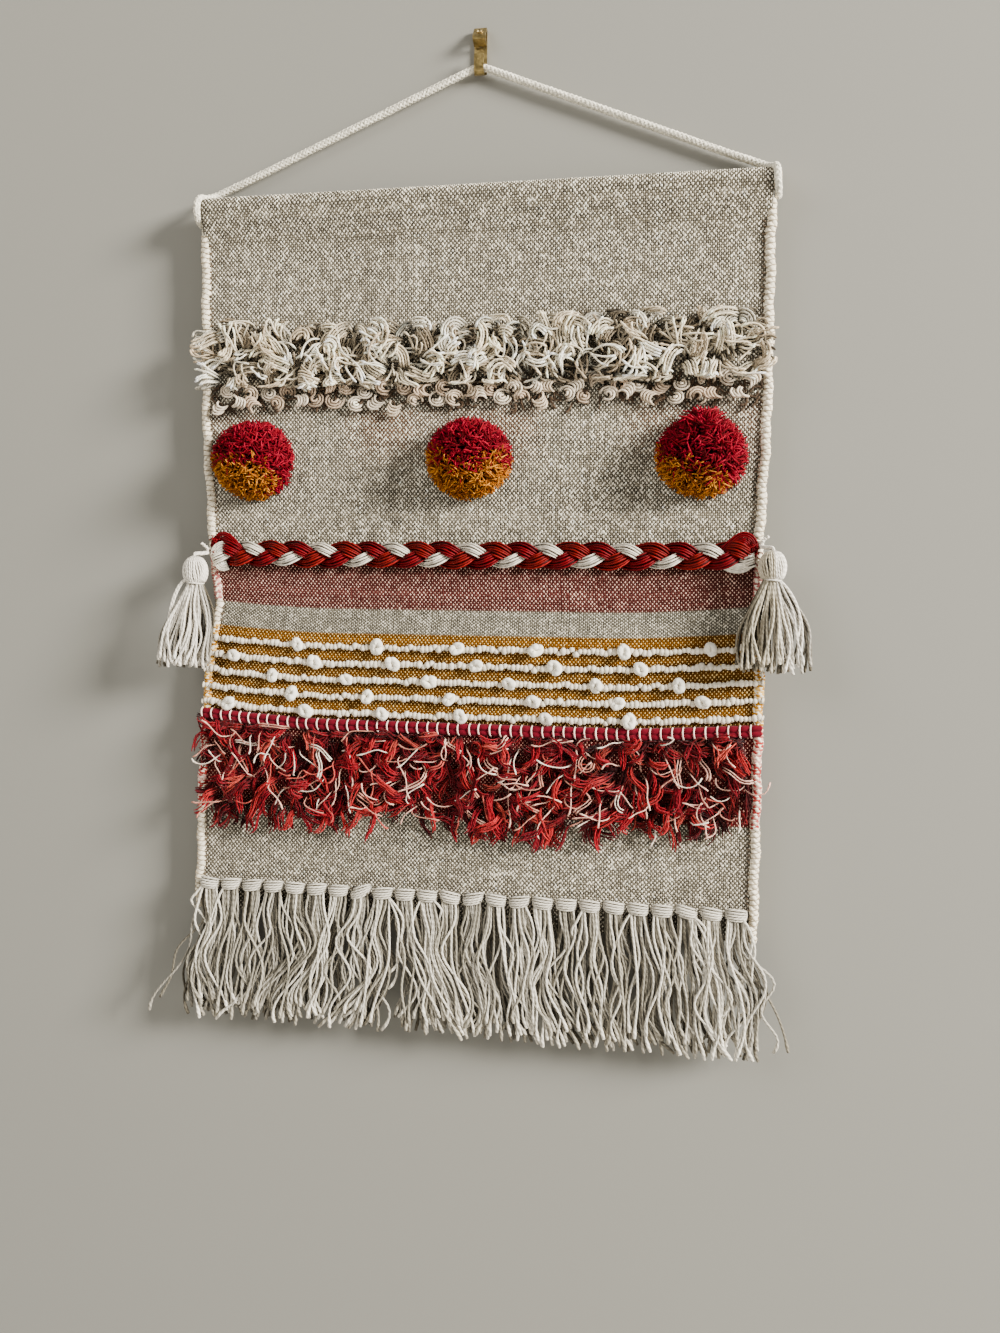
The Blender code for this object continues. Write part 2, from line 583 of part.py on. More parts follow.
def make_skirt(index, name, middle_x, neck_z, core, pivot):
    """Cut yarn below the wrap: a loft from the round neck to a wide flat hem."""
    top, shoulder = neck_z + WRAP_DIAMETER / 2, neck_z - WRAP_DIAMETER / 2 - GAP
    wide, deep, hem = SKIRT_WIDTH[index] / 2, SKIRT_DEPTH / 2, shoulder - SKIRT_LENGTH
    # Half width, half depth, height and share of the lean
    shape = [(core, core, top, 0.0), (core, core, shoulder, 0.0),
             (wide * 0.45, deep * 0.9, shoulder - SKIRT_LENGTH * 0.16, 0.12),
             (wide * 0.8, deep, shoulder - SKIRT_LENGTH * 0.6, 0.6),
             (wide, deep, shoulder - SKIRT_LENGTH * 0.9, 0.95), (wide * 0.9, deep * 0.7, hem, 1.0)]
    steps = 20
    bm = bmesh.new()
    loops = []
    for half_wide, half_deep, z, lean in shape:
        x, y = middle_x + SKIRT_LEAN[index] * lean, -TASSEL_FRONT - SKIRT_FORWARD * lean
        turns = [math.tau * i / steps for i in range(steps)]
        loops.append([bm.verts.new((x + half_wide * math.cos(a), y + half_deep * math.sin(a), z))
                      for a in turns])
    for upper, lower in zip(loops, loops[1:]):
        for i in range(steps):
            j = (i + 1) % steps
            bm.faces.new((upper[i], lower[i], lower[j], upper[j]))
    bm.faces.new(loops[0])
    bm.faces.new(list(reversed(loops[-1])))
    finish(mesh_object(f"tassel_skirt_{name}", bm), (0.72, 0.70, 0.66), 0.95, parent=pivot)


def make_fringe(pivot):
    """Bundles of yarn knotted over the hem, each free to swing on its own knot."""
    left = edge_x(-1, PANEL_DROP) + FRINGE_INSET
    right = edge_x(1, PANEL_DROP) - FRINGE_INSET
    pitch = (right - left) / (FRINGE_BUNDLES - 1)
    knot_half = (pitch - KNOT_SPACE) / 2
    radius = KNOT_HEIGHT / 2
    rim = [(0.0, 1.0), (0.75, 0.96), (1.0, 0.6)]
    profile = [(radius * r, knot_half * h) for r, h in rim + [(r, -h) for r, h in reversed(rim)]]
    barrel = turned_object("fringe_shape", profile, 10, turn=(0, math.radians(90), 0))
    strands = box("fringe_strands", (knot_half * 1.8, STRANDS_DEPTH, FRINGE_LENGTH),
                  (0, 0, -FRINGE_LENGTH / 2))
    CUTTERS.objects.link(barrel)
    boolean(barrel, [strands], "UNION")
    bpy.context.view_layer.update()
    seen = barrel.evaluated_get(bpy.context.evaluated_depsgraph_get())
    mesh = bpy.data.meshes.new_from_object(seen)
    mesh.transform(barrel.matrix_world)
    bpy.data.objects.remove(barrel, do_unlink=True)
    bpy.data.objects.remove(strands, do_unlink=True)
    for i in range(FRINGE_BUNDLES):
        bundle = bpy.data.objects.new(f"fringe_bundle_{i + 1:02d}", mesh.copy())
        place = (left + pitch * i, CLOTH_FRONT - GAP - radius, HEM_Z + FRINGE_RISE)
        hang = add_pivot(f"fringe_pivot_{i + 1:02d}", place, pivot)
        bundle.location = place
        finish(bundle, (0.80, 0.75, 0.68), 0.95, parent=hang)
    bpy.data.meshes.remove(mesh)


clear_scene()
make_hook()
hanger_pivot = add_pivot("hanger_pivot", CORD_ROUTE[0])
make_hanger(hanger_pivot)
panel_pivot = add_pivot("panel_pivot", (0, ROD_Y, ROD_Z), hanger_pivot)
make_rod(panel_pivot)
make_cloth(panel_pivot)
make_pile(panel_pivot)
make_pompoms(panel_pivot)
make_braid(panel_pivot)
make_roving_rows(panel_pivot)
make_tassel(0, -1, "left", panel_pivot)
make_tassel(1, 1, "right", panel_pivot)
make_fringe(panel_pivot)
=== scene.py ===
import math

import bpy
import numpy as np
from mathutils import Matrix, Vector


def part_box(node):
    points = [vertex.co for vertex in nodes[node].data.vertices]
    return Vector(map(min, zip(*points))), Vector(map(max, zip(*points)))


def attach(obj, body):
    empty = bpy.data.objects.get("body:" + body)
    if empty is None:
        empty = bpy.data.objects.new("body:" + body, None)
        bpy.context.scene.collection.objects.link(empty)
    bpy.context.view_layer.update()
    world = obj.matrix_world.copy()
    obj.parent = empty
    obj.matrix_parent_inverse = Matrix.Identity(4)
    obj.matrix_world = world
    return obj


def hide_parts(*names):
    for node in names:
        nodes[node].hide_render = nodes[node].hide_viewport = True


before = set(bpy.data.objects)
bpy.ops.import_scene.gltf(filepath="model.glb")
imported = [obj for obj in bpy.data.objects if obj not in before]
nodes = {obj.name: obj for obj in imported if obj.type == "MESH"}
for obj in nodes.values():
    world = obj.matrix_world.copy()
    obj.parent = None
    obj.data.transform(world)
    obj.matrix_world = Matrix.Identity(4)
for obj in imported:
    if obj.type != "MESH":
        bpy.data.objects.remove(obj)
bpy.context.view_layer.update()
print("frame loaded:", len(nodes), "nodes")


def smoothStep(value, low, high):
    t = np.clip((np.asarray(value, float) - low) / (high - low), 0, 1)
    return t * t * (3 - 2 * t)


def curveThrough(points, step):
    # evenly read Catmull-Rom curve
    pts = [Vector(p) for p in points]
    ends = [2 * pts[0] - pts[1], *pts, 2 * pts[-1] - pts[-2]]
    result = [pts[0]]
    for a, b, c, d in zip(ends, ends[1:], ends[2:], ends[3:]):
        count = max(1, round((c - b).length / step))
        for i in range(1, count + 1):
            t = i / count
            result.append(0.5 * (2 * b + (c - a) * t + (2 * a - 5 * b + 4 * c - d) * t**2
                                 + (3 * b - a - 3 * c + d) * t**3))
    return result


tiny = 1e-12  # keeps a division from failing
outward = np.array([0.0, -1.0, 0.0])  # away from the wall


def unit(vectors, least=0.0):
    return vectors / (np.linalg.norm(vectors, axis=-1, keepdims=True) + least)


def pathLength(path):
    return float(np.linalg.norm(np.diff(path, axis=0), axis=1).sum())


def joined(x, y, z):
    # one point a row; a single number serves for every row
    return np.stack(np.broadcast_arrays(x, y, z), 1)


def resample(path, count):
    path = np.asarray(path, float)
    along = np.concatenate([[0], np.cumsum(np.linalg.norm(np.diff(path, axis=0), axis=1))])
    at = np.linspace(0, along[-1], count)
    return np.stack([np.interp(at, along, path[:, k]) for k in range(3)], axis=1)


def ringCentres(node):
    # middles of the rings of an upright CAD tube, bottom to top
    co = np.array([v.co for v in nodes[node].data.vertices])
    co = co[np.argsort(co[:, 2])]
    breaks = np.nonzero(np.diff(co[:, 2]) > 0.004)[0] + 1
    rings = [(r.min(0) + r.max(0)) / 2 for r in np.split(co, breaks)]
    return np.array(rings)


def addObject(name, data):
    obj = bpy.data.objects.new(name, data)
    bpy.context.scene.collection.objects.link(obj)
    return obj


view = {
    "place": (0.1396, -0.7210, -0.3744),
    "yaw": 9.468,  # degrees, pitch and roll too
    "pitch": -3.738,
    "roll": 0.755,
    "lens": 27.03,
}


def addCamera():
    yaw, pitch, roll = (math.radians(view[k]) for k in ("yaw", "pitch", "roll"))
    ahead = Vector((-math.sin(yaw) * math.cos(pitch), math.cos(yaw) * math.cos(pitch), math.sin(pitch)))
    right = Vector((math.cos(yaw), math.sin(yaw), 0))
    up = right.cross(ahead)
    side = right * math.cos(roll) + up * math.sin(roll)
    top = up * math.cos(roll) - right * math.sin(roll)
    data = bpy.data.cameras.new("camera")
    data.lens = view["lens"]
    data.sensor_width = 36
    data.clip_start = 0.01
    camera = addObject("camera", data)
    turn = Matrix((side, top, -ahead)).transposed().to_4x4()
    camera.matrix_world = Matrix.Translation(view["place"]) @ turn
    bpy.context.scene.camera = camera


lights = {
    "window": {"place": (3.9, -1.55, 1.15), "aim": (0, 0, -0.34), "size": 1.25, "power": 960},
    "fill": {"place": (-2.2, -1.9, 1.3), "aim": (-0.4, 0, -0.2), "size": 1.8, "power": 78},
    "behind": {"place": (-0.5, 1.6, 0.5), "aim": (0, 0, -0.35), "size": 1.2, "power": 22},
    "colour": (1.0, 0.965, 0.885),
    "sky": (0.86, 0.84, 0.78),
    "skyStrength": 0.27,
}


def addLights():
    for name in ("window", "fill", "behind"):
        spec = lights[name]
        data = bpy.data.lights.new(name, "AREA")
        data.energy = spec["power"]
        data.size = spec["size"]
        data.color = lights["colour"]
        lamp = addObject(name, data)
        lamp.location = spec["place"]
        beam = Vector(spec["aim"]) - Vector(spec["place"])
        lamp.rotation_euler = beam.to_track_quat("-Z", "Y").to_euler()
    world = bpy.data.worlds.new("studio")
    world.use_nodes = True
    sky = world.node_tree.nodes["Background"]
    sky.inputs["Color"].default_value = (*lights["sky"], 1)
    sky.inputs["Strength"].default_value = lights["skyStrength"]
    bpy.context.scene.world = world


stage = {
    "wallY": 0.0006,
    "wall": (0.208, 0.203, 0.181),
    "floor": (0.46, 0.45, 0.43),
    "floorZ": -1.35,
    "half": 3.2,
}


def addStage():
    half, low = stage["half"], stage["floorZ"]
    corners = {
        "wall": [(-half, 0, low), (half, 0, low), (half, 0, half / 2), (-half, 0, half / 2)],
        "floor": [(-half, -half, low), (half, -half, low), (half, half, low), (-half, half, low)],
    }
    for name in ("wall", "floor"):
        mesh = bpy.data.meshes.new(name)
        mesh.from_pydata(corners[name], [], [(0, 1, 2, 3)])
        obj = addObject(name, mesh)
        material = bpy.data.materials.new(name + "Paint")
        material.use_nodes = True
        tree = material.node_tree
        paint = tree.nodes["Principled BSDF"]
        paint.inputs["Base Color"].default_value = (*stage[name], 1)
        paint.inputs["Roughness"].default_value = 0.9
        mesh.materials.append(material)
        if name == "wall":  # clear from behind, so that the back can be seen
            obj.location.y = stage["wallY"]
            obj.visible_shadow = False
            clear = tree.nodes.new("ShaderNodeBsdfTransparent")
            mix = tree.nodes.new("ShaderNodeMixShader")
            facing = tree.nodes.new("ShaderNodeNewGeometry")
            tree.links.new(facing.outputs["Backfacing"], mix.inputs[0])
            tree.links.new(paint.outputs[0], mix.inputs[1])
            tree.links.new(clear.outputs[0], mix.inputs[2])
            tree.links.new(mix.outputs[0], tree.nodes["Material Output"].inputs["Surface"])


addCamera()
addLights()
addStage()
print("camera, lights and stage ready")


def sweep(strands, sides):
    # yarn as tubes: strands are (points, radii, colour), with one radius and colour or one for each point
    groups = {}
    for strand in strands:
        groups.setdefault(len(strand[0]), []).append(strand)
    total = len(strands)
    columns = max(1, math.ceil(math.sqrt(total / 10)))
    rows = math.ceil(total / columns)
    done = 0
    found = {"co": [], "colour": [], "corner": [], "size": [], "twist": [], "cell": []}
    offset = 0
    for count, group in groups.items():
        n = len(group)
        p = np.array([g[0] for g in group], float)
        r = np.array([np.broadcast_to(g[1], count) for g in group], float)
        c = np.array([np.broadcast_to(g[2], (count, 3)) for g in group], float)
        t = unit(np.gradient(p, axis=1), tiny)
        start = np.where(np.abs(t[:, :1, 1:2]) < 0.8, [[[0.0, 1.0, 0.0]]], [[[1.0, 0.0, 0.0]]])[:, 0]
        normal = np.empty_like(p)
        for i in range(count):
            start = unit(start - (start * t[:, i]).sum(1, keepdims=True) * t[:, i], tiny)
            normal[:, i] = start
        across = np.cross(t, normal)
        turn = np.arange(sides) * math.tau / sides
        ring = (normal[:, :, None] * np.cos(turn)[:, None] + across[:, :, None] * np.sin(turn)[:, None])
        co = p[:, :, None] + r[:, :, None, None] * ring
        found["co"].append(co.reshape(-1, 3))
        found["colour"].append(np.repeat(c.reshape(-1, 3), sides, axis=0))
        i, k = np.meshgrid(np.arange(count - 1), np.arange(sides), indexing="ij")
        k2 = (k + 1) % sides
        quad = np.stack([i * sides + k, i * sides + k2, (i + 1) * sides + k2, (i + 1) * sides + k], axis=-1)
        quad = quad.reshape(-1, 4)
        first = np.arange(sides)[::-1]
        last = (count - 1) * sides + np.arange(sides)
        steps = np.linalg.norm(np.diff(p, axis=1), axis=2)
        along = np.concatenate([np.zeros((n, 1)), np.cumsum(steps, axis=1)], 1)
        twistU = along / (2 * r.mean(axis=1, keepdims=True))
        cellU = along / along[:, -1:]
        quadI = np.stack([i, i, i + 1, i + 1], axis=-1).reshape(-1, 4)
        quadV = np.stack([k, k + 1, k + 1, k], axis=-1).reshape(-1, 4) / sides
        for s in range(n):
            base = offset + s * count * sides
            found["corner"].append((quad + base).ravel())
            found["size"].append(np.full(len(quad), 4))
            found["corner"].append(np.concatenate([first, last]) + base)
            found["size"].append(np.array([sides, sides]))
            place = done + s  # each yarn has its own cell of the bake map
            x0, z0 = (place % columns) / columns, (place // columns) / rows
            u, v = twistU[s][quadI].ravel(), quadV.ravel()
            cu = x0 + (0.02 + 0.96 * cellU[s][quadI].ravel()) / columns
            cv = z0 + (0.06 + 0.88 * v) / rows
            capV = 0.5 + 0.2 * np.sin(turn)
            capU = 0.02 * np.cos(turn)
            found["twist"].append(np.stack([
                np.concatenate([u, np.full(sides, 0.0), np.full(sides, twistU[s][-1])]),
                np.concatenate([v, capV, capV])], 1))
            found["cell"].append(np.stack([
                np.concatenate([cu, x0 + (0.05 + capU) / columns, x0 + (0.95 + capU) / columns]),
                np.concatenate([cv, z0 + capV[::-1] / rows, z0 + capV / rows])], 1))
        offset += n * count * sides
        done += n
    return {key: np.concatenate(value) for key, value in found.items()}


def plainMesh(name, co, corners, sizes):
    # corners lists the vertices of every face in turn, sizes how many each face has
    mesh = bpy.data.meshes.new(name)
    mesh.vertices.add(len(co))
    mesh.vertices.foreach_set("co", co.astype(np.float32).ravel())
    mesh.loops.add(len(corners))
    mesh.loops.foreach_set("vertex_index", corners.astype(np.int32))
    mesh.polygons.add(len(sizes))
    starts = np.concatenate([[0], np.cumsum(sizes)[:-1]])
    mesh.polygons.foreach_set("loop_start", starts.astype(np.int32))
    mesh.update(calc_edges=True)
    return mesh


def addMap(mesh, name, values):
    mesh.uv_layers.new(name=name).data.foreach_set("uv", values.astype(np.float32).ravel())


def addColour(mesh, name, values):
    layer = mesh.color_attributes.new(name=name, type="FLOAT_COLOR", domain="POINT")
    layer.data.foreach_set("color", values.astype(np.float32).ravel())


def finishPiece(obj, material, body, replaced):
    obj.data.shade_smooth()
    obj.data.materials.append(material)
    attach(obj, body)
    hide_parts(replaced)


def yarnPiece(name, strands, sides, body, replaced, material):
    data = sweep(strands, sides)
    mesh = plainMesh(name, data["co"], data["corner"], data["size"])
    mesh.validate()
    addMap(mesh, "OFBake", data["cell"])
    addMap(mesh, "twist", data["twist"])
    # the yarn colour attribute holds each yarn's own colour, with painted shade and painted highlights on
    # many pieces
    addColour(mesh, "yarnColourAndShade", np.concatenate([data["colour"], np.ones((len(data["colour"]), 1))], 1))
    obj = addObject(name, mesh)
    finishPiece(obj, material, body, replaced)
    print(" ", name, len(strands), "strands,", len(mesh.polygons), "faces")
    return obj


def bundle(path, count, spread, rng, twist, flat, jitter):
    # count strands side by side round one path; flat squeezes them towards the cloth
    t = unit(np.gradient(path, axis=0), tiny)
    side = unit(np.cross(t, outward), 1e-9)
    depth = np.cross(side, t)
    along = np.linspace(0, 1, len(path))
    made = []
    for k in range(count):
        if k == 0 and count > 4:
            distance, angle = 0.0, 0.0
        else:
            distance = spread * (1 - 0.12 * rng.random())
            angle = math.tau * (k + rng.normal(0, jitter)) / max(1, count - (count > 4))
        turn = angle + twist * along
        wander = 1 + jitter * np.sin(math.tau * (along * rng.uniform(0.6, 1.4) + rng.random()))
        offset = side * (distance * np.cos(turn) * wander)[:, None]
        offset += depth * (distance * flat * np.sin(turn) * wander)[:, None]
        made.append(path + offset)
    return made


def tapered(count, radius, tip=0.45, flare=1.0):
    r = np.full(count, radius)
    r[-2] = radius * flare
    r[-1] = radius * flare * tip
    return r


def paintShadeAndTipHighlight(colour, height, low, high, least=0.3, tip=1.0):
    # painted shade: yarn that lies deep is painted darker, and its cut end gets a painted highlight
    share = least + (1 - least) * smoothStep(height, low, high)
    share[-2:] *= tip
    return np.clip(np.array(colour)[None, :] * share[:, None], 0, 1)


def shifted(x, z, away):
    # a curve moved sideways in the plane of the cloth
    dx, dz = np.gradient(x), np.gradient(z)
    size = np.hypot(dx, dz) + 1e-9
    return x - dz / size * away, z + dx / size * away


def alongside(x, z, count, pitch, rng):
    # curves that run side by side in the plane of the cloth
    return [shifted(x, z, (k - (count - 1) / 2 + rng.normal(0, 0.10)) * pitch) for k in range(count)]


def shade(colour, rng, spread=0.12):
    return np.clip(np.array(colour) * (1 + rng.normal(0, spread)), 0, 1)


def newMaterial(name, roughness=0.9, gloss=0.08):
    material = bpy.data.materials.new(name)
    material.use_nodes = True
    shader = material.node_tree.nodes["Principled BSDF"]
    shader.inputs["Roughness"].default_value = roughness
    shader.inputs["Specular IOR Level"].default_value = gloss
    return material, material.node_tree, shader


def mathNode(tree, operation, *values):
    node = tree.nodes.new("ShaderNodeMath")
    node.operation = operation
    for socket, value in zip(node.inputs, values):
        if isinstance(value, (int, float)):
            socket.default_value = value
        else:
            tree.links.new(value, socket)
    return node.outputs[0]


def rangeNode(tree, value, low, high, start, end):
    node = tree.nodes.new("ShaderNodeMapRange")
    node.interpolation_type = "SMOOTHSTEP"
    tree.links.new(value, node.inputs["Value"])
    for key, number in (("From Min", low), ("From Max", high), ("To Min", start), ("To Max", end)):
        node.inputs[key].default_value = number
    return node.outputs[0]


def noiseNode(tree, vector, scale, detail=2.0):
    node = tree.nodes.new("ShaderNodeTexNoise")
    node.inputs["Scale"].default_value = scale
    node.inputs["Detail"].default_value = detail
    tree.links.new(vector, node.inputs["Vector"])
    return node.outputs["Fac"]


def scaledColour(tree, colour, factor):
    node = tree.nodes.new("ShaderNodeVectorMath")
    node.operation = "SCALE"
    tree.links.new(colour, node.inputs[0])
    tree.links.new(factor, node.inputs["Scale"])
    return node.outputs[0]


def attributeNode(tree, name):
    node = tree.nodes.new("ShaderNodeAttribute")
    node.attribute_name = name
    return node.outputs["Color"]


def objectPlace(tree):
    return tree.nodes.new("ShaderNodeTexCoord").outputs["Object"]


def mapParts(tree, name):
    uv = tree.nodes.new("ShaderNodeUVMap")
    uv.uv_map = name
    split = tree.nodes.new("ShaderNodeSeparateXYZ")
    tree.links.new(uv.outputs[0], split.inputs[0])
    return split.outputs[0], split.outputs[1]


def addBump(tree, shader, height, distance, strength=0.6):
    node = tree.nodes.new("ShaderNodeBump")
    node.inputs["Distance"].default_value = distance
    node.inputs["Strength"].default_value = strength
    tree.links.new(height, node.inputs["Height"])
    tree.links.new(node.outputs[0], shader.inputs["Normal"])


def yarnMaterial(name, turns, plies, grooveShade, relief, sheen=0.05, fibre=900.0, roughness=0.92):
    # twisted yarn: painted shade in the grooves between its plies, and loose fibres
    material, tree, shader = newMaterial(name, roughness)
    shader.inputs["Sheen Weight"].default_value = sheen
    shader.inputs["Sheen Roughness"].default_value = 0.5
    along, around = mapParts(tree, "twist")
    lay = mathNode(tree, "MULTIPLY_ADD", around, float(plies), mathNode(tree, "MULTIPLY", along, turns))
    wave = mathNode(tree, "COSINE", mathNode(tree, "MULTIPLY", lay, math.tau))
    fibres = noiseNode(tree, objectPlace(tree), fibre, 3.0)
    height = mathNode(tree, "MULTIPLY_ADD", wave, 0.35, fibres)
    # painted shade: the colour is darkened in the grooves between the plies
    tone = mathNode(tree, "MULTIPLY_ADD", wave, grooveShade / 2, 1.0 - grooveShade / 2)
    fuzz = mathNode(tree, "MULTIPLY_ADD", fibres, 0.5, 0.75)
    colour = scaledColour(tree, attributeNode(tree, "yarnColourAndShade"), mathNode(tree, "MULTIPLY", tone, fuzz))
    tree.links.new(colour, shader.inputs["Base Color"])
    addBump(tree, shader, height, relief)
    return material


cottonYarn = yarnMaterial("cottonYarn", 0.45, 2, 0.40, 0.0004)
woolYarn = yarnMaterial("woolYarn", 0.30, 2, 0.34, 0.0005, sheen=0.06)
fineYarn = yarnMaterial("fineYarn", 0.30, 1, 0.24, 0.0003, sheen=0.01, fibre=1600.0)
rovingYarn = yarnMaterial("rovingYarn", 0.10, 3, 0.12, 0.0004, sheen=0.05, fibre=700.0)
glossYarn = yarnMaterial("glossYarn", 0.25, 1, 0.22, 0.0003, sheen=0.0, fibre=1200.0, roughness=0.5)


rodLow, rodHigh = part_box("top_rod")
rodY, rodZ = (rodLow.y + rodHigh.y) / 2, (rodLow.z + rodHigh.z) / 2
rodRadius = (rodHigh.z - rodLow.z) / 2

hanger = {
    "diameter": 0.0052,
    # right half of its route, from the hook to where it starts round the dowel
    "route": ((0.0, -0.0041, 0.0), (0.0045, -0.0041, -0.0009), (0.014, -0.0041, -0.0047),
              (0.060, -0.0041, -0.0232), (0.120, -0.0041, -0.0474), (0.170, -0.0041, -0.0676),
              (0.190, -0.0041, -0.0752), (0.1985, -0.0057, -0.0793)),
    "turns": 0.6,
    "lane": 0.0054,
    "lead": 0.0045,
    "gap": 0.0003,
    "colour": (0.84, 0.79, 0.66),
    "carriers": 8,
    "ply": 0.00118,
    "platPitch": 0.0125,
    "platRelief": 0.00022,
    "step": 0.0011,
}


def hangerPath():
    run = [Vector(p) for p in hanger["route"]]
    radius = rodRadius + hanger["gap"] + hanger["diameter"] / 2 + 0.0002
    firstX = run[-1].x + hanger["lead"]
    sides = 24
    turns = []
    quarter = 0.25  # it starts in front of the dowel's end, over its top
    for i in range(round(hanger["turns"] * sides) + 1):
        angle = math.tau * (quarter + i / sides)
        turns.append(Vector((firstX + hanger["lane"] * i / sides, rodY + radius * math.cos(angle),
                             rodZ + radius * math.sin(angle))))
    half = curveThrough(run + turns[:1], 0.004) + turns[1:]
    left = [Vector((-p.x, p.y, p.z)) for p in reversed(half)]
    return left + half[1:]


def framesAlong(path):
    t = unit(np.gradient(path, axis=0))
    n = outward
    normals = np.empty_like(path)
    for i in range(len(path)):
        n = unit(n - n.dot(t[i]) * t[i])
        normals[i] = n
    return normals, np.cross(t, normals)


def makeHanger():
    rng = np.random.default_rng(11)
    path = np.array(hangerPath())
    length = pathLength(path)
    fine = resample(path, round(length / hanger["step"]))
    normal, across = framesAlong(fine)
    s = np.linspace(0, length, len(fine))
    core = hanger["diameter"] / 2 - hanger["ply"]
    # painted shade: the core strand is painted at half the cord's colour, so the gaps between the carriers
    # look shaded
    strands = [(fine[::3], core * 0.95, np.array(hanger["colour"]) * 0.5)]
    perWay = hanger["carriers"] / 2
    beat = math.tau * s / hanger["platPitch"]
    for k in range(hanger["carriers"]):  # half of them wind one way, half the other
        way = 1 if k % 2 else -1
        turn = way * beat + math.tau * (k // 2) / perWay
        over = hanger["platRelief"] * way * np.cos(perWay * beat)
        r = core + over
        points = fine + normal * (r * np.cos(turn))[:, None] + across * (r * np.sin(turn))[:, None]
        strands.append((points, hanger["ply"], shade(hanger["colour"], rng, 0.08)))
    piece = yarnPiece("hangerCord", strands, 5, "hanger", "hanger_cord", cottonYarn)
    print("hanging cord:", round(length, 3), "m")


makeHanger()


panelLow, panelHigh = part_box("woven_panel")
leftRope, rightRope = ringCentres("side_cord_left"), ringCentres("side_cord_right")
ropeRadius = (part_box("side_cord_right")[1].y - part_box("side_cord_right")[0].y) / 2
clothFront = rodY - 0.0012

cloth = {
    "thick": 0.0017,
    "warpPitch": 0.00150,
    "weftPitch": 0.00168,
    "pocketDrop": 0.0355,
    "slack": 0.0015,  # between the dowel and the middle of the cloth round it
    "hemDrop": 0.022,
    "hemTurn": 0.0011,
    "undulate": 0.0016,
    "tuck": 0.0045,  # how far its edges reach under the side ropes
    "natural": (0.125, 0.107, 0.078),
    "naturalWarp": (0.74, 0.67, 0.545),
    # name, lower end, weft, warp, pitch share, relief in mm, looseness, how much weft hides the warp
    "bands": (
        ("natural", -0.3445, None, None, 1.0, 0.34, 1.0, -0.04),
        ("rose", -0.3790, (0.072, 0.017, 0.014), (0.72, 0.44, 0.35), 1.0, 0.30, 0.30, 0.34),
        ("fine", -0.3975, (0.115, 0.102, 0.076), (0.60, 0.55, 0.45), 0.70, 0.20, 0.9, 0.05),
        ("mustard", -0.4625, (0.118, 0.041, 0.001), (0.76, 0.50, 0.175), 1.0, 0.34, 0.25, 0.34),
        ("maroon", -0.5300, (0.085, 0.007, 0.008), (0.62, 0.30, 0.23), 1.0, 0.32, 0.35, 0.34),
        ("foot", -1.0, None, None, 1.0, 0.32, 0.9, 0.0),
    ),
    "blush": (0.94, 0.62, 0.52),  # tint of the wefts just under the curled row
}


def ropeX(side, z):
    rope = leftRope if side < 0 else rightRope
    return np.interp(z, rope[:, 2], rope[:, 0])


def drape(x, z):
    # how far the hanging cloth stands off its flat plane; it grows down the cloth
    x, z = np.asarray(x, float), np.asarray(z, float)
    grow = smoothStep(-z, 0.13, 0.42)
    folds = np.sin(x * 31.0 + 0.6) * 0.5 + np.sin(x * 17.0 - 1.1 + z * 6.0) * 0.5
    bow = np.sin(z * 21.0 + x * 4.0) * 0.4
    return cloth["undulate"] * grow * (folds + bow)


def rowRise(x, z):
    # beating draws the lower rows up towards both edges
    zone = smoothStep(-z, 0.325, 0.375) * (1 - smoothStep(-z, 0.475, 0.545))
    edge = np.clip((np.abs(x) - 0.105) / 0.095, 0, 1.2) ** 1.5
    return zone * (0.0056 * edge - 0.0021)


def frontY(x, z, out=0.0):
    return clothFront - drape(x, z) - out


def bandAt(z):
    for band in cloth["bands"]:
        if z > band[1]:
            return band
    return cloth["bands"][-1]


def clothProfile():
    # the cloth's own length, up its pocket, down its front and up its hem: y, z, and 1 on the front
    seam = panelHigh.z - cloth["pocketDrop"]
    radius = rodRadius + cloth["slack"]
    reach = math.acos(radius / (rodZ - seam))
    frontTangent = math.radians(270) - reach
    backTangent = math.radians(270) + reach
    points = [(rodY + 0.0021, seam - 0.004, 0), (rodY + 0.0016, seam, 0)]
    count = 40
    for i in range(count + 1):
        angle = backTangent + (frontTangent + math.tau - backTangent) * i / count
        isFront = angle - math.tau > math.radians(90) - 1.6 and i > count / 2
        points.append((rodY + radius * math.cos(angle), rodZ + radius * math.sin(angle), int(isFront)))
    points.append((rodY, seam, 1))
    turn = cloth["hemTurn"]
    foot = panelLow.z + turn
    points.append((rodY, foot + 0.001, 1))
    for i in range(1, 6):
        angle = math.pi + math.pi * i / 5
        points.append((rodY + turn + turn * math.cos(angle), foot + turn * math.sin(angle), 0))
    points.append((rodY + 2 * turn, panelLow.z + cloth["hemDrop"], 0))
    return np.array(points)


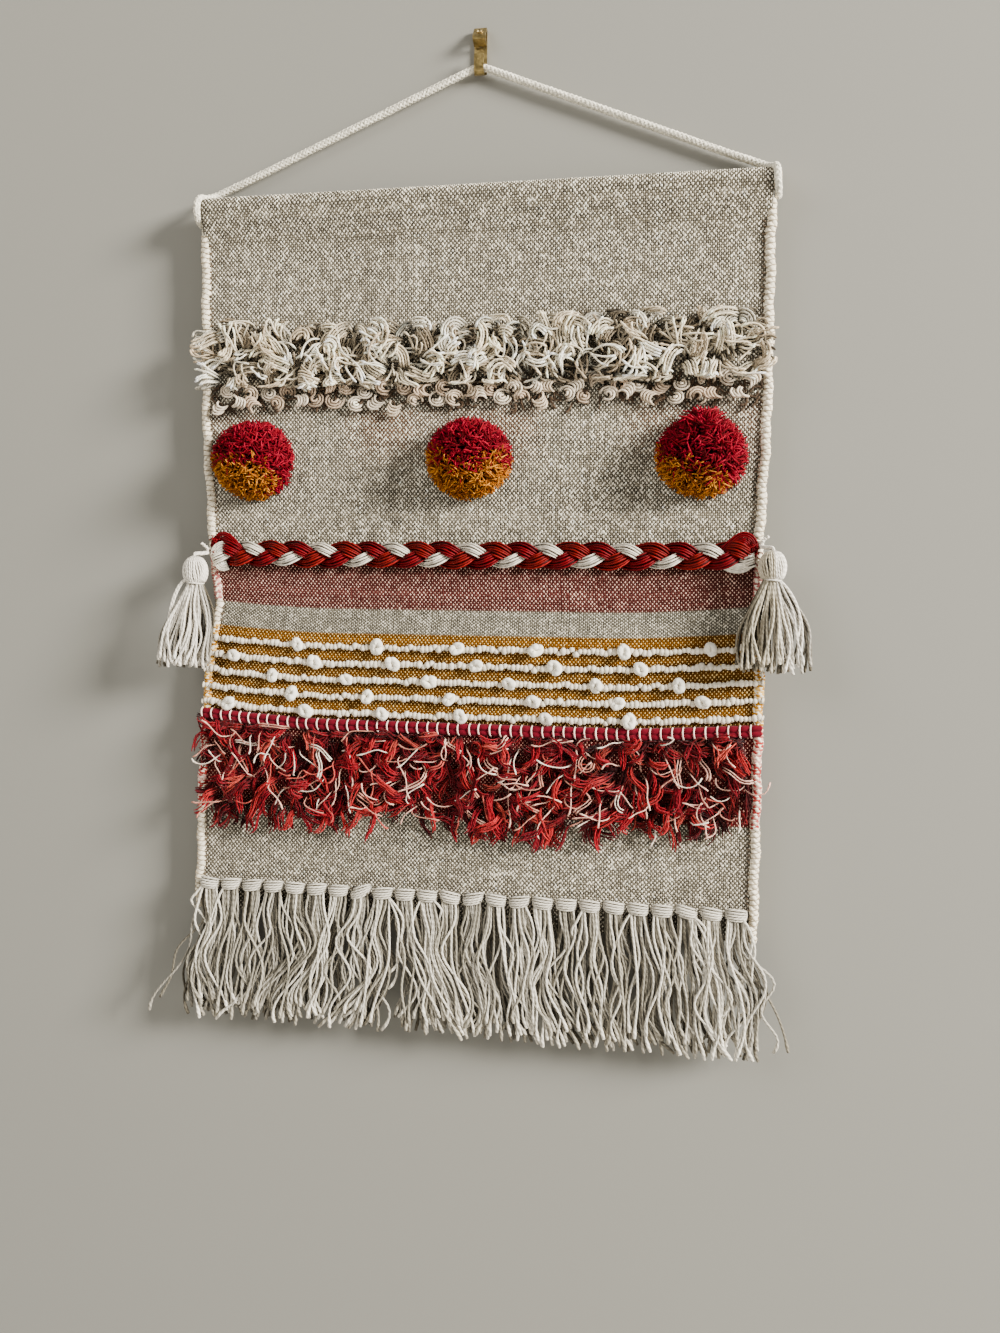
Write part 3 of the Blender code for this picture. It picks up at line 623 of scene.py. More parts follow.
def makeCloth():
    rng = np.random.default_rng(5)
    profile = clothProfile()
    along = np.concatenate([[0], np.cumsum(np.linalg.norm(np.diff(profile[:, :2], axis=0), axis=1))])
    length = along[-1]
    at, s = [], 0.0
    while s < length:
        at.append(s)
        z = np.interp(s, along, profile[:, 1])
        front = np.interp(s, along, profile[:, 2]) > 0.5
        s += cloth["weftPitch"] * (bandAt(z)[4] if front else 1.0)
    at = np.array(at + [length])
    rowY, rowZ = np.interp(at, along, profile[:, 0]), np.interp(at, along, profile[:, 1])
    rowFront = np.interp(at, along, profile[:, 2])
    tangent = unit(np.stack([np.gradient(rowY), np.gradient(rowZ)], 1))
    outY, outZ = tangent[:, 1:], -tangent[:, :1]  # away from the dowel, to the front
    rows = len(at)
    width = panelHigh.x - panelLow.x
    columns = round((width + 2 * cloth["tuck"]) / cloth["warpPitch"])
    across = np.linspace(0, 1, columns + 1)
    ends = np.clip(rowZ, leftRope[:, 2].min(), leftRope[:, 2].max())
    leftX = ropeX(-1, ends) + ropeRadius - cloth["tuck"]
    rightX = ropeX(1, ends) - ropeRadius + cloth["tuck"]
    x = leftX[:, None] + (rightX - leftX)[:, None] * across[None, :]
    z = np.broadcast_to(rowZ[:, None], x.shape)
    flatPart = smoothStep(panelHigh.z - z, 0.030, 0.050)
    lift = rowRise(x, z) * flatPart
    shift = -drape(x, z) * flatPart
    warpWander = rng.normal(0, 0.00012, (1, columns + 1))
    warpWander = warpWander + np.cumsum(rng.normal(0, 0.00003, x.shape), axis=0) * 0.3
    y = np.broadcast_to(rowY[:, None], x.shape) + shift
    z = z + lift + rng.normal(0, 0.00010, (rows, 1))
    x = x + warpWander * (np.sin(math.pi * across) ** 0.3)[None, :]
    parity = np.where((np.arange(rows)[:, None] + np.arange(columns + 1)[None, :]) % 2, -1.0, 1.0)
    relief = np.array([(bandAt(r)[5] if f > 0.5 else 0.26) for r, f in zip(rowZ, rowFront)]) / 1000
    bumpy = parity * relief[:, None] * rng.uniform(0.55, 1.25, x.shape)
    half = cloth["thick"] / 2
    flip = -1.0 if outY[rows // 2, 0] > 0 else 1.0
    outer = np.stack([x, y + flip * outY * (half + bumpy), z + flip * outZ * (half + bumpy)], -1)
    inner = np.stack([x, y - flip * outY * (half - bumpy * 0.8), z - flip * outZ * (half - bumpy * 0.8)], -1)
    weft, warp = threadColours(rng, rowZ, rowFront, across)
    makeClothMesh(outer, inner, weft, warp)
    return length, width


def threadColours(rng, rowZ, rowFront, across):
    # a colour for every crossing, and in its fourth value how far the weft hides the warp there
    rows, columns = len(rowZ), len(across) - 1
    weft = np.ones((rows, columns + 1, 4))
    warp = np.ones_like(weft)
    perWeft = rng.normal(1, 0.15, rows)
    perWarp = rng.normal(1, 0.13, columns + 1)
    slub = np.repeat(rng.normal(0, 0.16, (rows, columns // 6 + 2)), 6, axis=1)[:, :columns + 1]
    for j in range(rows):
        band = bandAt(rowZ[j]) if rowFront[j] > 0.5 else cloth["bands"][0]
        weftColour = band[2] or cloth["natural"]
        warpColour = band[3] or cloth["naturalWarp"]
        loose, hidden = band[6:]
        if band[0] == "natural" and rowFront[j] > 0.5:
            tint = float(smoothStep(-rowZ[j], 0.232, 0.242) * (1 - smoothStep(-rowZ[j], 0.252, 0.285)))
            patch = tint * np.clip(0.45 + 0.9 * np.sin(across * 19.0 + 1.0) * np.sin(across * 7.0), 0, 1)
            weftColour = np.array(weftColour) * (1 - patch[:, None] * (1 - np.array(cloth["blush"])))
        tone = perWeft[j] * (1 + slub[j] * loose) * (1 + rng.normal(0, 0.09, columns + 1) * loose)
        weft[j, :, :3] = np.array(weftColour).reshape(-1, 3) * tone[:, None]
        weft[j, :, 3] = hidden + loose * (rng.normal(0, 0.13, columns + 1) + rng.normal(0, 0.07))
        tone = perWarp * (1 + rng.normal(0, 0.20, columns + 1) * loose)
        warp[j, :, :3] = np.array(warpColour)[None, :] * tone[:, None]
    return weft, warp


def makeClothMesh(outer, inner, weft, warp):
    rows, wide = outer.shape[:2]
    columns = wide - 1
    j, i = np.meshgrid(np.arange(rows - 1), np.arange(columns), indexing="ij")
    a = (j * wide + i).ravel()
    quad = np.stack([a, a + 1, a + 1 + wide, a + wide], 1)
    back = rows * wide
    quads = [quad[:, ::-1], quad + back]
    edges = [np.arange(wide), (rows - 1) * wide + np.arange(wide)[::-1],
             np.arange(rows)[::-1] * wide, np.arange(rows) * wide + columns]
    for edge in edges:
        quads.append(np.stack([edge[:-1], edge[1:], edge[1:] + back, edge[:-1] + back], 1))
    faces = np.concatenate(quads)
    co = np.concatenate([outer.reshape(-1, 3), inner.reshape(-1, 3)])
    mesh = plainMesh("wovenCloth", co, faces.ravel(), np.full(len(faces), 4))
    lattice = np.stack(np.meshgrid(np.arange(wide), np.arange(rows)), -1).reshape(-1, 2)
    lattice = np.concatenate([lattice, lattice + [1, 0]])  # the back shows the other threads
    addMap(mesh, "lattice", lattice[faces.ravel()])
    bake = lattice / [wide * 1.02, rows * 2.04]
    bake[len(bake) // 2:, 1] += 0.5
    addMap(mesh, "OFBake", bake[faces.ravel()])
    for name, colours in (("weftColour", weft), ("warpColour", warp)):
        addColour(mesh, name, np.clip(np.concatenate([colours.reshape(-1, 4)] * 2), 0, 1))
    finishPiece(addObject("wovenCloth", mesh), clothMaterial(), "panel", "woven_panel")


def clothMaterial():
    # plain weave on the thread lattice: warp dots over wefts, with painted shade where they part
    material, tree, shader = newMaterial("plainWeave", 0.95)
    cosU, cosV = (mathNode(tree, "COSINE", mathNode(tree, "MULTIPLY", part, math.pi))
                  for part in mapParts(tree, "lattice"))
    cross = mathNode(tree, "MULTIPLY", cosU, cosV)
    narrow = mathNode(tree, "MULTIPLY", cross, mathNode(tree, "ABSOLUTE", cosU))
    place = objectPlace(tree)
    uneven = noiseNode(tree, place, 420.0, 2.0)
    fibres = noiseNode(tree, place, 1800.0, 2.0)
    weft = tree.nodes.new("ShaderNodeAttribute")
    weft.attribute_name = "weftColour"
    patch = noiseNode(tree, place, 130.0, 3.0)
    wander = mathNode(tree, "MULTIPLY_ADD", mathNode(tree, "SUBTRACT", uneven, 0.5), 2.0, narrow)
    wander = mathNode(tree, "MULTIPLY_ADD", mathNode(tree, "SUBTRACT", patch, 0.5), 0.5, wander)
    edge = mathNode(tree, "SUBTRACT", wander, weft.outputs["Alpha"])
    isWarp = rangeNode(tree, edge, 0.02, 0.22, 0.0, 1.0)
    parting = mathNode(tree, "ABSOLUTE", edge)
    # painted shade: colour darkened where the threads part
    gap = rangeNode(tree, parting, 0.0, 0.34, 0.12, 1.0)
    mix = tree.nodes.new("ShaderNodeMix")
    mix.data_type = "RGBA"
    tree.links.new(isWarp, mix.inputs["Factor"])
    tree.links.new(weft.outputs["Color"], mix.inputs[6])
    tree.links.new(attributeNode(tree, "warpColour"), mix.inputs[7])
    tone = mathNode(tree, "MULTIPLY", gap, mathNode(tree, "MULTIPLY_ADD", fibres, 0.8, 0.60))
    tone = mathNode(tree, "MULTIPLY", tone, mathNode(tree, "MULTIPLY_ADD", patch, 0.7, 0.68))
    tree.links.new(scaledColour(tree, mix.outputs[2], tone), shader.inputs["Base Color"])
    height = mathNode(tree, "POWER", mathNode(tree, "ABSOLUTE", cross), 0.6)
    addBump(tree, shader, mathNode(tree, "MULTIPLY_ADD", fibres, 0.4, height), 0.0007, 0.9)
    return material


clothLength, clothWidth = makeCloth()
print("cloth:", round(clothWidth, 3), "by", round(clothLength, 3), "m flat")


sideRope = {
    "plies": 3,
    "plyRadius": 0.0020,
    "orbit": 0.00165,
    "pitch": 0.0135,
    "stitchPitch": 0.0037,
    "stitch": 0.00034,
    "wrapPitch": 0.0021,
    # dark strands painted in as shade in the gaps where the rope is whipped to the cloth
    "gap": 0.00052,
    "gapPitch": 0.0044,
    "gapShadeColour": (0.14, 0.10, 0.066),
    "wrap": 0.00112,
    "colour": (0.80, 0.72, 0.57),
    "stitchShadeColour": (0.34, 0.27, 0.18),
    "wrapColours": {
        "rose": ((0.30, 0.085, 0.08), (0.62, 0.33, 0.28)),
        "mustard": ((0.36, 0.155, 0.008), (0.60, 0.36, 0.08)),
        "maroon": ((0.34, 0.030, 0.028), (0.62, 0.36, 0.30)),
    },
}


def makeSideRopes():
    rng = np.random.default_rng(21)
    for side, name, rope in ((-1, "Left", leftRope), (1, "Right", rightRope)):
        path = resample(rope[::-1], 420)
        path[:, 1] = rodY - drape(path[:, 0], path[:, 2])
        path[:, 0] += 0.0005 * np.sin(path[:, 2] * 160 + side) + 0.0003 * np.sin(path[:, 2] * 410)
        length = pathLength(path)
        s = np.linspace(0, length, len(path))
        normal, across = framesAlong(path)
        lump = 1 + 0.08 * np.sin(s * 700 + side) * np.sin(s * 290)
        strands = []
        for k in range(sideRope["plies"]):
            turn = -side * math.tau * s / sideRope["pitch"] + math.tau * k / sideRope["plies"]
            points = path + normal * (sideRope["orbit"] * lump * np.cos(turn))[:, None]
            points = points + across * (sideRope["orbit"] * lump * np.sin(turn))[:, None]
            strands.append((points, sideRope["plyRadius"], shade(sideRope["colour"], rng, 0.05)))
        fine = resample(path, round(length / 0.00042))
        normal, across = framesAlong(fine)
        zs = fine[:, 2] - rowRise(fine[:, 0], fine[:, 2])
        names = [bandAt(z)[0] for z in zs]
        wrapped = np.array([n in sideRope["wrapColours"] for n in names])
        pitch = np.where(wrapped, sideRope["wrapPitch"], sideRope["stitchPitch"])
        orbit = sideRope["orbit"] + sideRope["plyRadius"] - np.where(wrapped, 0.0006, 0.0001)
        radius = np.where(wrapped, sideRope["wrap"], sideRope["stitch"])
        turns = np.cumsum(length / (len(fine) - 1) / pitch)
        # painted shade: the stitch thread outside the coloured wraps is painted dark, as the shade between
        # the stitches
        colour = np.tile(np.array(sideRope["stitchShadeColour"]), (len(fine), 1))
        pick = rng.random(int(turns[-1]) + 2)
        for j in np.nonzero(wrapped)[0]:
            dark, light = sideRope["wrapColours"][names[j]]
            colour[j] = light if pick[int(turns[j])] < 0.35 else dark
        turn = side * math.tau * turns
        points = fine + normal * (orbit * np.cos(turn))[:, None] + across * (orbit * np.sin(turn))[:, None]
        strands.append((points, radius, colour))
        # painted shade: short dark strands where the rope meets the cloth
        for z in np.arange(rope[:, 2].min() + 0.004, rope[:, 2].max() - 0.004, sideRope["gapPitch"]):
            if bandAt(z)[0] in sideRope["wrapColours"]:
                continue
            inner = float(ropeX(side, z)) - side * (ropeRadius - 0.0002)
            reach = np.linspace(0, rng.uniform(0.0011, 0.0022), 5)
            points = joined(inner - side * reach, frontY(inner, z, 0.0003 - 0.2 * reach),
                            z + rng.normal(0, 0.0005) + 0.6 * reach)
            strands.append((points, sideRope["gap"], np.array(sideRope["gapShadeColour"])))
        yarnPiece("sideRope" + name, strands, 6, "panel", "side_cord_" + name.lower(),
                  rovingYarn)


makeSideRopes()


def inPlanePath(rng, x0, z0, heading, length, bend, layer, count, lift=0.0):
    # a path that leaves the cloth, reaches its layer and curves in the plane of the cloth
    s = np.linspace(0, 1, count)
    ds = length / (count - 1)
    angle = heading + bend * s + 0.35 * np.sin(math.tau * (s * rng.uniform(0.5, 1.2) + rng.random()))
    x = x0 + np.concatenate([[0], np.cumsum(np.cos(angle[:-1]) * ds)])
    z = z0 + np.concatenate([[0], np.cumsum(np.sin(angle[:-1]) * ds)])
    h = 0.0008 + layer * smoothStep(s, 0.0, 0.25) + lift * s**2
    return x, z, h


def onCloth(x, z, out):
    # points that stand out from the front of the hanging cloth
    return joined(x, frontY(x, z, out), z)


goldenShare = 0.6180339887  # spreads tufts evenly along their row


def softLimit(value, low, high, give=0.25):
    value = np.where(value < low, low + (value - low) * give, value)
    return np.where(value > high, high + (value - high) * give, value)


creamPile = {
    "tufts": 430,
    "yarns": (3, 6),
    "yarn": 0.00068,
    "pitch": 0.00188,
    "length": (0.015, 0.031),
    "depth": 0.0130,
    "colours": ((0.82, 0.72, 0.54), (0.68, 0.57, 0.41), (0.48, 0.38, 0.26), (0.95, 0.88, 0.73)),
}


def makeCreamPile():
    rng = np.random.default_rng(31)
    low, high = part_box("cream_shag")
    strands = []
    tufts = creamPile["tufts"]
    for k in range(tufts):
        deep = k < tufts * 0.40
        t = (k * goldenShare) % 1.0
        x0 = low.x + (high.x - low.x) * t
        z0 = rng.uniform(low.z + 0.003, high.z - 0.007)
        heading = rng.uniform(0, math.tau)
        bend = rng.choice([-1, 1]) * rng.uniform(0.2, 2.8)
        length = rng.uniform(*creamPile["length"])
        layer = rng.uniform(0.001, 0.0045) if deep else creamPile["depth"] * rng.uniform(0.30, 0.95)
        arching = abs(z0 - high.z) < 0.017 and not deep
        if arching:
            heading = rng.choice([0.35, math.pi - 0.35]) + rng.normal(0, 0.35)
            bend = -math.copysign(rng.uniform(1.5, 3.6), math.cos(heading))
            layer *= 0.75
        if x0 < low.x + 0.014 and not deep:
            heading, bend = math.pi + rng.normal(0.15, 0.3), rng.normal(0, 0.8)
        # painted shade: tufts that lie low take the darker colours
        base = creamPile["colours"][(1 + rng.integers(2)) if deep else rng.choice((0, 0, 1, 3, 3, 2))]
        yarns = rng.integers(*creamPile["yarns"])
        if arching or rng.random() < 0.35:
            x, z, h = inPlanePath(rng, x0, z0, heading, length, bend, layer, 11, rng.uniform(-0.002, 0.003))
            lanes = [(px, pz, h) for px, pz in alongside(x, z, yarns, creamPile["pitch"], rng)]
        else:
            lanes = []
            for j in range(yarns):
                lanes.append(inPlanePath(rng, x0 + rng.normal(0, 0.0018), z0 + rng.normal(0, 0.0018),
                                         heading + rng.normal(0, 0.24), length, bend + rng.normal(0, 0.5),
                                         max(0.001, layer + rng.normal(0, 0.0014)), 11,
                                         rng.uniform(-0.002, 0.003)))
        for px, pz, ph in lanes:
            px = softLimit(px, low.x - 0.010, high.x + 0.009)
            pz = softLimit(pz, low.z + 0.001, high.z - 0.005)
            ph = np.clip(ph + rng.normal(0, 0.0008), 0.0008, creamPile["depth"] + 0.0016)
            points = onCloth(px, pz, ph)
            cut = rng.uniform(0.72, 1.0)
            points = resample(points[: max(6, int(len(points) * cut))], 10)
            # painted shade on yarn that lies deep, and a painted highlight on its cut end
            colour = paintShadeAndTipHighlight(shade(base, rng, 0.12), clothFront - points[:, 1], 0.0005, 0.0115, 0.075, 1.35)
            strands.append((points, tapered(10, creamPile["yarn"], 0.6, 1.35), colour))
    yarnPiece("creamPile", strands, 5, "panel", "cream_shag", cottonYarn)


creamLoops = {
    "curls": 52,
    "yarn": 0.00078,
    "inner": 0.0012,
    "arc": 0.0044,
    "pitch": 0.00215,
    "depth": 0.0056,
    "colours": ((0.74, 0.59, 0.43), (0.86, 0.73, 0.57), (0.64, 0.48, 0.34)),
    "under": (0.075, 0.048, 0.030),  # flat dark yarns between the curls, painted shade that hides the cloth
    "underYarns": 260,
    "raise": 0.0028,
}


def makeCreamLoops():
    rng = np.random.default_rng(32)
    low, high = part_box("cream_loop_row")
    strands = []
    middle = (low.z + high.z) / 2 + creamLoops["raise"]
    for _ in range(creamLoops["underYarns"]):
        x0, z0 = rng.uniform(low.x, high.x), middle + rng.uniform(-0.0085, 0.009)
        x, z, h = inPlanePath(rng, x0, z0, rng.uniform(0, math.tau), 0.009, rng.normal(0, 2), 0.0004, 8)
        strands.append((onCloth(x, z, 0.0010), creamLoops["yarn"], shade(creamLoops["under"], rng, 0.2)))
    for k in range(creamLoops["curls"]):
        x0 = low.x + 0.003 + (high.x - low.x - 0.006) * (k + 0.5 + rng.normal(0, 0.2)) / creamLoops["curls"]
        z0 = middle + (0.0050 if k % 2 else -0.0042) + rng.normal(0, 0.0014)
        start = rng.uniform(0, math.tau)
        way = rng.choice([-1, 1])
        lean = rng.uniform(0, math.pi)
        base = creamLoops["colours"][rng.integers(3)]
        layer = rng.uniform(0.45, 1.0) * creamLoops["depth"]
        parallel = rng.random() < 0.45
        grown = rng.uniform(-0.0004, 0.0014)
        for j in range(4 if parallel else 3):
            if parallel:
                radius, total = creamLoops["arc"], rng.uniform(2.4, 3.4)
                dx = (j - 1.5) * creamLoops["pitch"] * math.cos(lean)
                dz = (j - 1.5) * creamLoops["pitch"] * math.sin(lean)
                first = lean - total / 2
            else:
                radius, total = creamLoops["inner"] + grown + creamLoops["pitch"] * j, rng.uniform(3.2, 5.6)
                dx = dz = 0.0
                first = start + rng.normal(0, 0.25)
            a = first + way * np.linspace(0, total, 16)
            x = x0 + dx + radius * np.cos(a)
            z = z0 + dz + radius * 0.85 * np.sin(a)
            s = np.linspace(0, 1, 16)
            fall = 1.0 - 0.16 * j * (not parallel)  # a curl's outer turns lie lower
            h = 0.0012 + layer * np.sin(math.pi * np.clip(s * 0.9 + 0.08, 0, 1)) ** 0.5 * fall
            points = resample(onCloth(x, z, h), 14)
            heights = h[np.linspace(0, 15, 14).astype(int)]
            # painted shade: each curl is darker where it lies low
            colour = paintShadeAndTipHighlight(shade(base, rng, 0.10), heights, 0.0008, 0.0052, 0.16)
            strands.append((points, creamLoops["yarn"], colour))
    yarnPiece("creamLoops", strands, 6, "panel", "cream_loop_row", cottonYarn)


redPile = {
    "tufts": 640,
    "yarns": (4, 8),
    "yarn": 0.00047,
    "spread": 0.0019,
    "paleCords": 190,
    "paleCord": 0.00044,
    "length": (0.017, 0.031),
    "depth": 0.0165,
    "reds": ((0.25, 0.002, 0.009), (0.16, 0.001, 0.007), (0.34, 0.012, 0.015), (0.10, 0.001, 0.004),
             (0.48, 0.055, 0.040)),
    "pales": ((0.84, 0.47, 0.37), (0.92, 0.74, 0.62), (0.52, 0.22, 0.16), (0.50, 0.08, 0.06)),
}


def makeRedPile():
    rng = np.random.default_rng(33)
    low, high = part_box("red_shag")
    strands = []
    tufts = redPile["tufts"]
    for k in range(tufts + redPile["paleCords"]):
        isPale = k >= tufts
        t = (k * goldenShare) % 1.0
        row = rng.random()
        hanging = not isPale and k % 17 == 0
        x0 = low.x + 0.002 + (high.x - low.x - 0.004) * t
        z0 = high.z + 0.001 - row * (high.z - low.z - 0.020)
        lean = 0.6 * math.sin(x0 * 47.0 + 0.7) + 0.5 * math.sin(x0 * 113.0 + z0 * 90.0)
        heading = math.radians(-90) + lean + rng.normal(0, 0.65) - 0.25
        layer = redPile["depth"] * rng.uniform(0.08, 0.85) * (0.62 + 0.38 * row)
        if k < tufts * 0.3:
            layer = rng.uniform(0.001, 0.004)
        length = rng.uniform(*redPile["length"])
        bend = rng.normal(0, 1.3)
        if isPale:
            heading += rng.normal(0, 0.7)
            layer = redPile["depth"] * rng.uniform(0.45, 0.98) * (0.66 + 0.34 * row)
            length = rng.uniform(0.013, 0.029)
        if not isPale and k % 6 == 1:
            # the tufts just under the red row lie every way and hide the cloth
            z0 = high.z - rng.uniform(0.0, 0.008)
            heading, length = rng.uniform(-math.pi, 0.15), rng.uniform(0.013, 0.021)
        if hanging:
            z0 = low.z + 0.020
            heading, length = math.radians(-90) + rng.normal(0, 0.3), rng.uniform(0.020, 0.027)
        x, z, h = inPlanePath(rng, x0, z0, heading, length, bend, layer, 10, rng.uniform(-0.003, 0.003))
        x = softLimit(x, low.x - 0.010, high.x + 0.010)
        z = softLimit(z, low.z - 0.002, high.z + 0.001)
        z = z + rowRise(x, z)
        h = np.clip(h, 0.0009, redPile["depth"] + 0.0018)
        if isPale:
            base = redPile["pales"][rng.choice(4, p=(0.38, 0.26, 0.20, 0.16))]
            for px, pz in alongside(x, z, 1 + (rng.random() < 0.10), 0.0018, rng):
                points = resample(onCloth(px, pz, h), 11)
                # painted shade on the pale cords where they lie deep, and a painted highlight on their ends
                colour = paintShadeAndTipHighlight(shade(base, rng, 0.08), clothFront - points[:, 1], 0.0, 0.012, 0.22, 1.2)
                strands.append((points, tapered(11, redPile["paleCord"], 0.8, 1.5), colour))
        else:
            base = redPile["reds"][rng.choice(5, p=(0.35, 0.26, 0.20, 0.13, 0.06))]
            for points in bundle(onCloth(x, z, h), rng.integers(*redPile["yarns"]), redPile["spread"], rng,
                                 rng.normal(0, 1.2), 0.7, 0.5):
                tip = rng.uniform(0.75, 1.0)
                points = resample(points[: max(6, int(len(points) * tip))], 9)
                points[:, 1] = np.minimum(points[:, 1], clothFront - 0.0007)
                heights = clothFront - points[:, 1]
                # painted shade on red yarn that lies deep, and a painted highlight on its cut end
                colour = paintShadeAndTipHighlight(shade(base, rng, 0.18), heights, 0.0005, 0.0115, 0.12, 1.1)
                strands.append((points, tapered(9, redPile["yarn"], 0.5, 1.1), colour))
    yarnPiece("redPile", strands, 4, "panel", "red_shag", woolYarn)


makeCreamPile()
makeCreamLoops()
makeRedPile()
print("pile rows made")


roving = {
    "beadPitch": 0.00300,
    "radius": 0.0025,
    "colour": (0.68, 0.61, 0.50),
    "firstDrop": 0.3241,
    "rowPitch": 0.0122,
    "bobblePitch": 0.410 / 6.85,
    "starts": (1.05, 0.30, 0.75, 1.05, 0.24),
    "bobbles": 6,
    "bobble": 0.0056,
    "bobbleColour": (0.82, 0.77, 0.67),
}


def makeRovingRow(index):
    rng = np.random.default_rng(40 + index)
    low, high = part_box(f"roving_row_{index + 1}")
    zMid = panelHigh.z - (roving["firstDrop"] + roving["rowPitch"] * index)
    left, right = float(ropeX(-1, zMid)) - 0.0030, float(ropeX(1, zMid)) + 0.0030
    beads = round((right - left) / roving["beadPitch"])
    count = beads * 8
    x = np.linspace(left, right, count)
    z = zMid + rowRise(x, np.full(count, zMid))
    at = np.arange(count) / 8 + 0.5
    swell = np.abs(np.sin(math.pi * at)) ** 0.7
    size = rng.uniform(0.72, 1.20, beads + 2)[at.astype(int)]
    sway = rng.normal(0, 0.00045, beads + 2)[at.astype(int)]
    radius = roving["radius"] * (0.34 + 0.66 * swell) * size
    path = joined(x, frontY(x, z, 0.0004) - 0.0010 * swell, z + sway * swell)
    # painted shade: the roving darkens towards a sixth of its colour in the necks between its beads
    colour = np.array(roving["colour"])[None, :] * (0.16 + 0.84 * swell[:, None] ** 0.9)
    strands = [(path, radius, colour)]
    for i in range(roving["bobbles"]):
        x0 = float(low.x) + roving["bobblePitch"] * (roving["starts"][index] + i) + rng.normal(0, 0.0012)
        strands.append(bobble(rng, x0, zMid + float(rowRise(x0, zMid))))
    yarnPiece(f"rovingRow{index + 1}", strands, 8, "panel", f"roving_row_{index + 1}",
              rovingYarn)


def bobble(rng, x0, z0):
    # a loop of roving pulled up out of its row, with a crease in its middle
    lean = rng.uniform(0, math.pi)
    size = roving["bobble"] * rng.uniform(0.90, 1.08)
    count = 24
    a = np.linspace(0.08 * math.pi, 2.05 * math.pi, count) + rng.random() * 6
    u, v = size * 0.60 * np.cos(a), size * 0.42 * np.sin(a)
    x = x0 + u * math.cos(lean) - v * math.sin(lean)
    z = z0 + 0.0006 + u * math.sin(lean) + v * math.cos(lean)
    h = 0.0036 + 0.0010 * np.sin(a * 0.5)
    radius = size * (0.43 + 0.06 * np.sin(a * 2) + 0.03 * np.sin(a * 5))
    radius[0] = radius[-1] = size * 0.20
    h[0] = h[-1] = 0.0020
    return onCloth(x, z, h), radius, np.array(roving["bobbleColour"]) * rng.uniform(0.95, 1.03)


redRow = {
    "floatPitch": 0.0076,
    "radius": 0.0042,
    "colour": (0.125, 0.0012, 0.010),
    "warp": (0.88, 0.62, 0.53),
    "warpRadius": 0.00056,
}


def makeRedRow():
    rng = np.random.default_rng(50)
    low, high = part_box("red_roving_row")
    zMid = (low.z + high.z) / 2
    left, right = float(ropeX(-1, zMid)) - 0.002, float(ropeX(1, zMid)) + 0.002
    pitch = redRow["floatPitch"]
    count = round((right - left) / pitch) * 14
    x = np.linspace(left, right, count)
    z = zMid + rowRise(x, np.full(count, zMid))
    bulge = np.abs(np.sin(math.pi * x / pitch)) ** 0.5
    fine = 0.5 + 0.5 * np.cos(math.tau * x / pitch * 2)
    strands = []
    for level in (-1, 1):
        radius = redRow["radius"] * 0.62 * (0.78 + 0.22 * bulge)
        path = joined(x, frontY(x, z, 0.0006) - 0.0008 * bulge, z + level * 0.0019)
        # painted shade: the row is darker where it narrows between the floats, with fine darker stripes
        tone = (0.70 + 0.30 * bulge) * (0.86 + 0.14 * fine)
        strands.append((path, radius, np.array(redRow["colour"])[None, :] * tone[:, None]))
    for k in range(math.floor(left / pitch) + 1, math.ceil(right / pitch)):
        xk = k * pitch + rng.normal(0, 0.0003)
        zk = zMid + float(rowRise(xk, zMid))
        s = np.linspace(-1, 1, 9)
        xs = xk + 0.0008 * np.abs(s) ** 3 + 0.0003 * s
        zs = zk - s * redRow["radius"] * 1.06
        out = 0.0035 * np.sqrt(np.clip(1 - (s * 0.96) ** 2, 0, 1)) + 0.0006
        strands.append((onCloth(xs, zs, out), redRow["warpRadius"], shade(redRow["warp"], rng, 0.08)))
    yarnPiece("redRow", strands, 8, "panel", "red_roving_row", rovingYarn)


for row in range(5):
    makeRovingRow(row)
makeRedRow()
print("roving rows made")


plait = {
    "drop": 0.2585,
    "pitch": 0.055,
    "shift": 0.019,
    "sway": 0.0054,
    "weave": 0.0034,
    "yarns": {"red": 6, "rust": 6, "white": 5},
    "halfWidth": {"red": 0.0055, "rust": 0.0054, "white": 0.0042},
    "halfDepth": 0.0020,
    "yarn": 0.00060,
    "colours": {
        "red": (0.115, 0.0007, 0.0035),
        "rust": (0.155, 0.0042, 0.0040),
        "white": (0.80, 0.73, 0.62),
    },
    "foldYarn": 0.00058,
    "foldBack": 0.0015,
    "fuzz": 0.00036,
    "fuzzCount": 70,
    # folded ends: colour, end, yarns, their pitch and the path from that end, x, z and height in mm
    "folds": (
        ("red", "left", 8, 1.25,
         ((-1, 3, 2), (2, 8, 4), (7, 11, 6), (13, 8, 7), (19, 1, 6), (22, -2, 4))),
        ("white", "left", 6, 1.15,
         ((13, 2, 5), (7, 5, 7), (1.5, 2, 7), (1, -4, 6), (5, -10, 5), (9, -9, 4))),
        ("red", "right", 8, 1.25,
         ((-19, 1, 4), (-13, 7, 6), (-7, 11, 7), (-2.5, 8, 6), (-2.5, 2, 4))),
        ("white", "right", 6, 1.15,
         ((-21, -5.5, 4), (-14, -8.5, 6), (-7.5, -8.5, 7), (-3, -5, 7), (-3, 2, 5))),
    ),
}


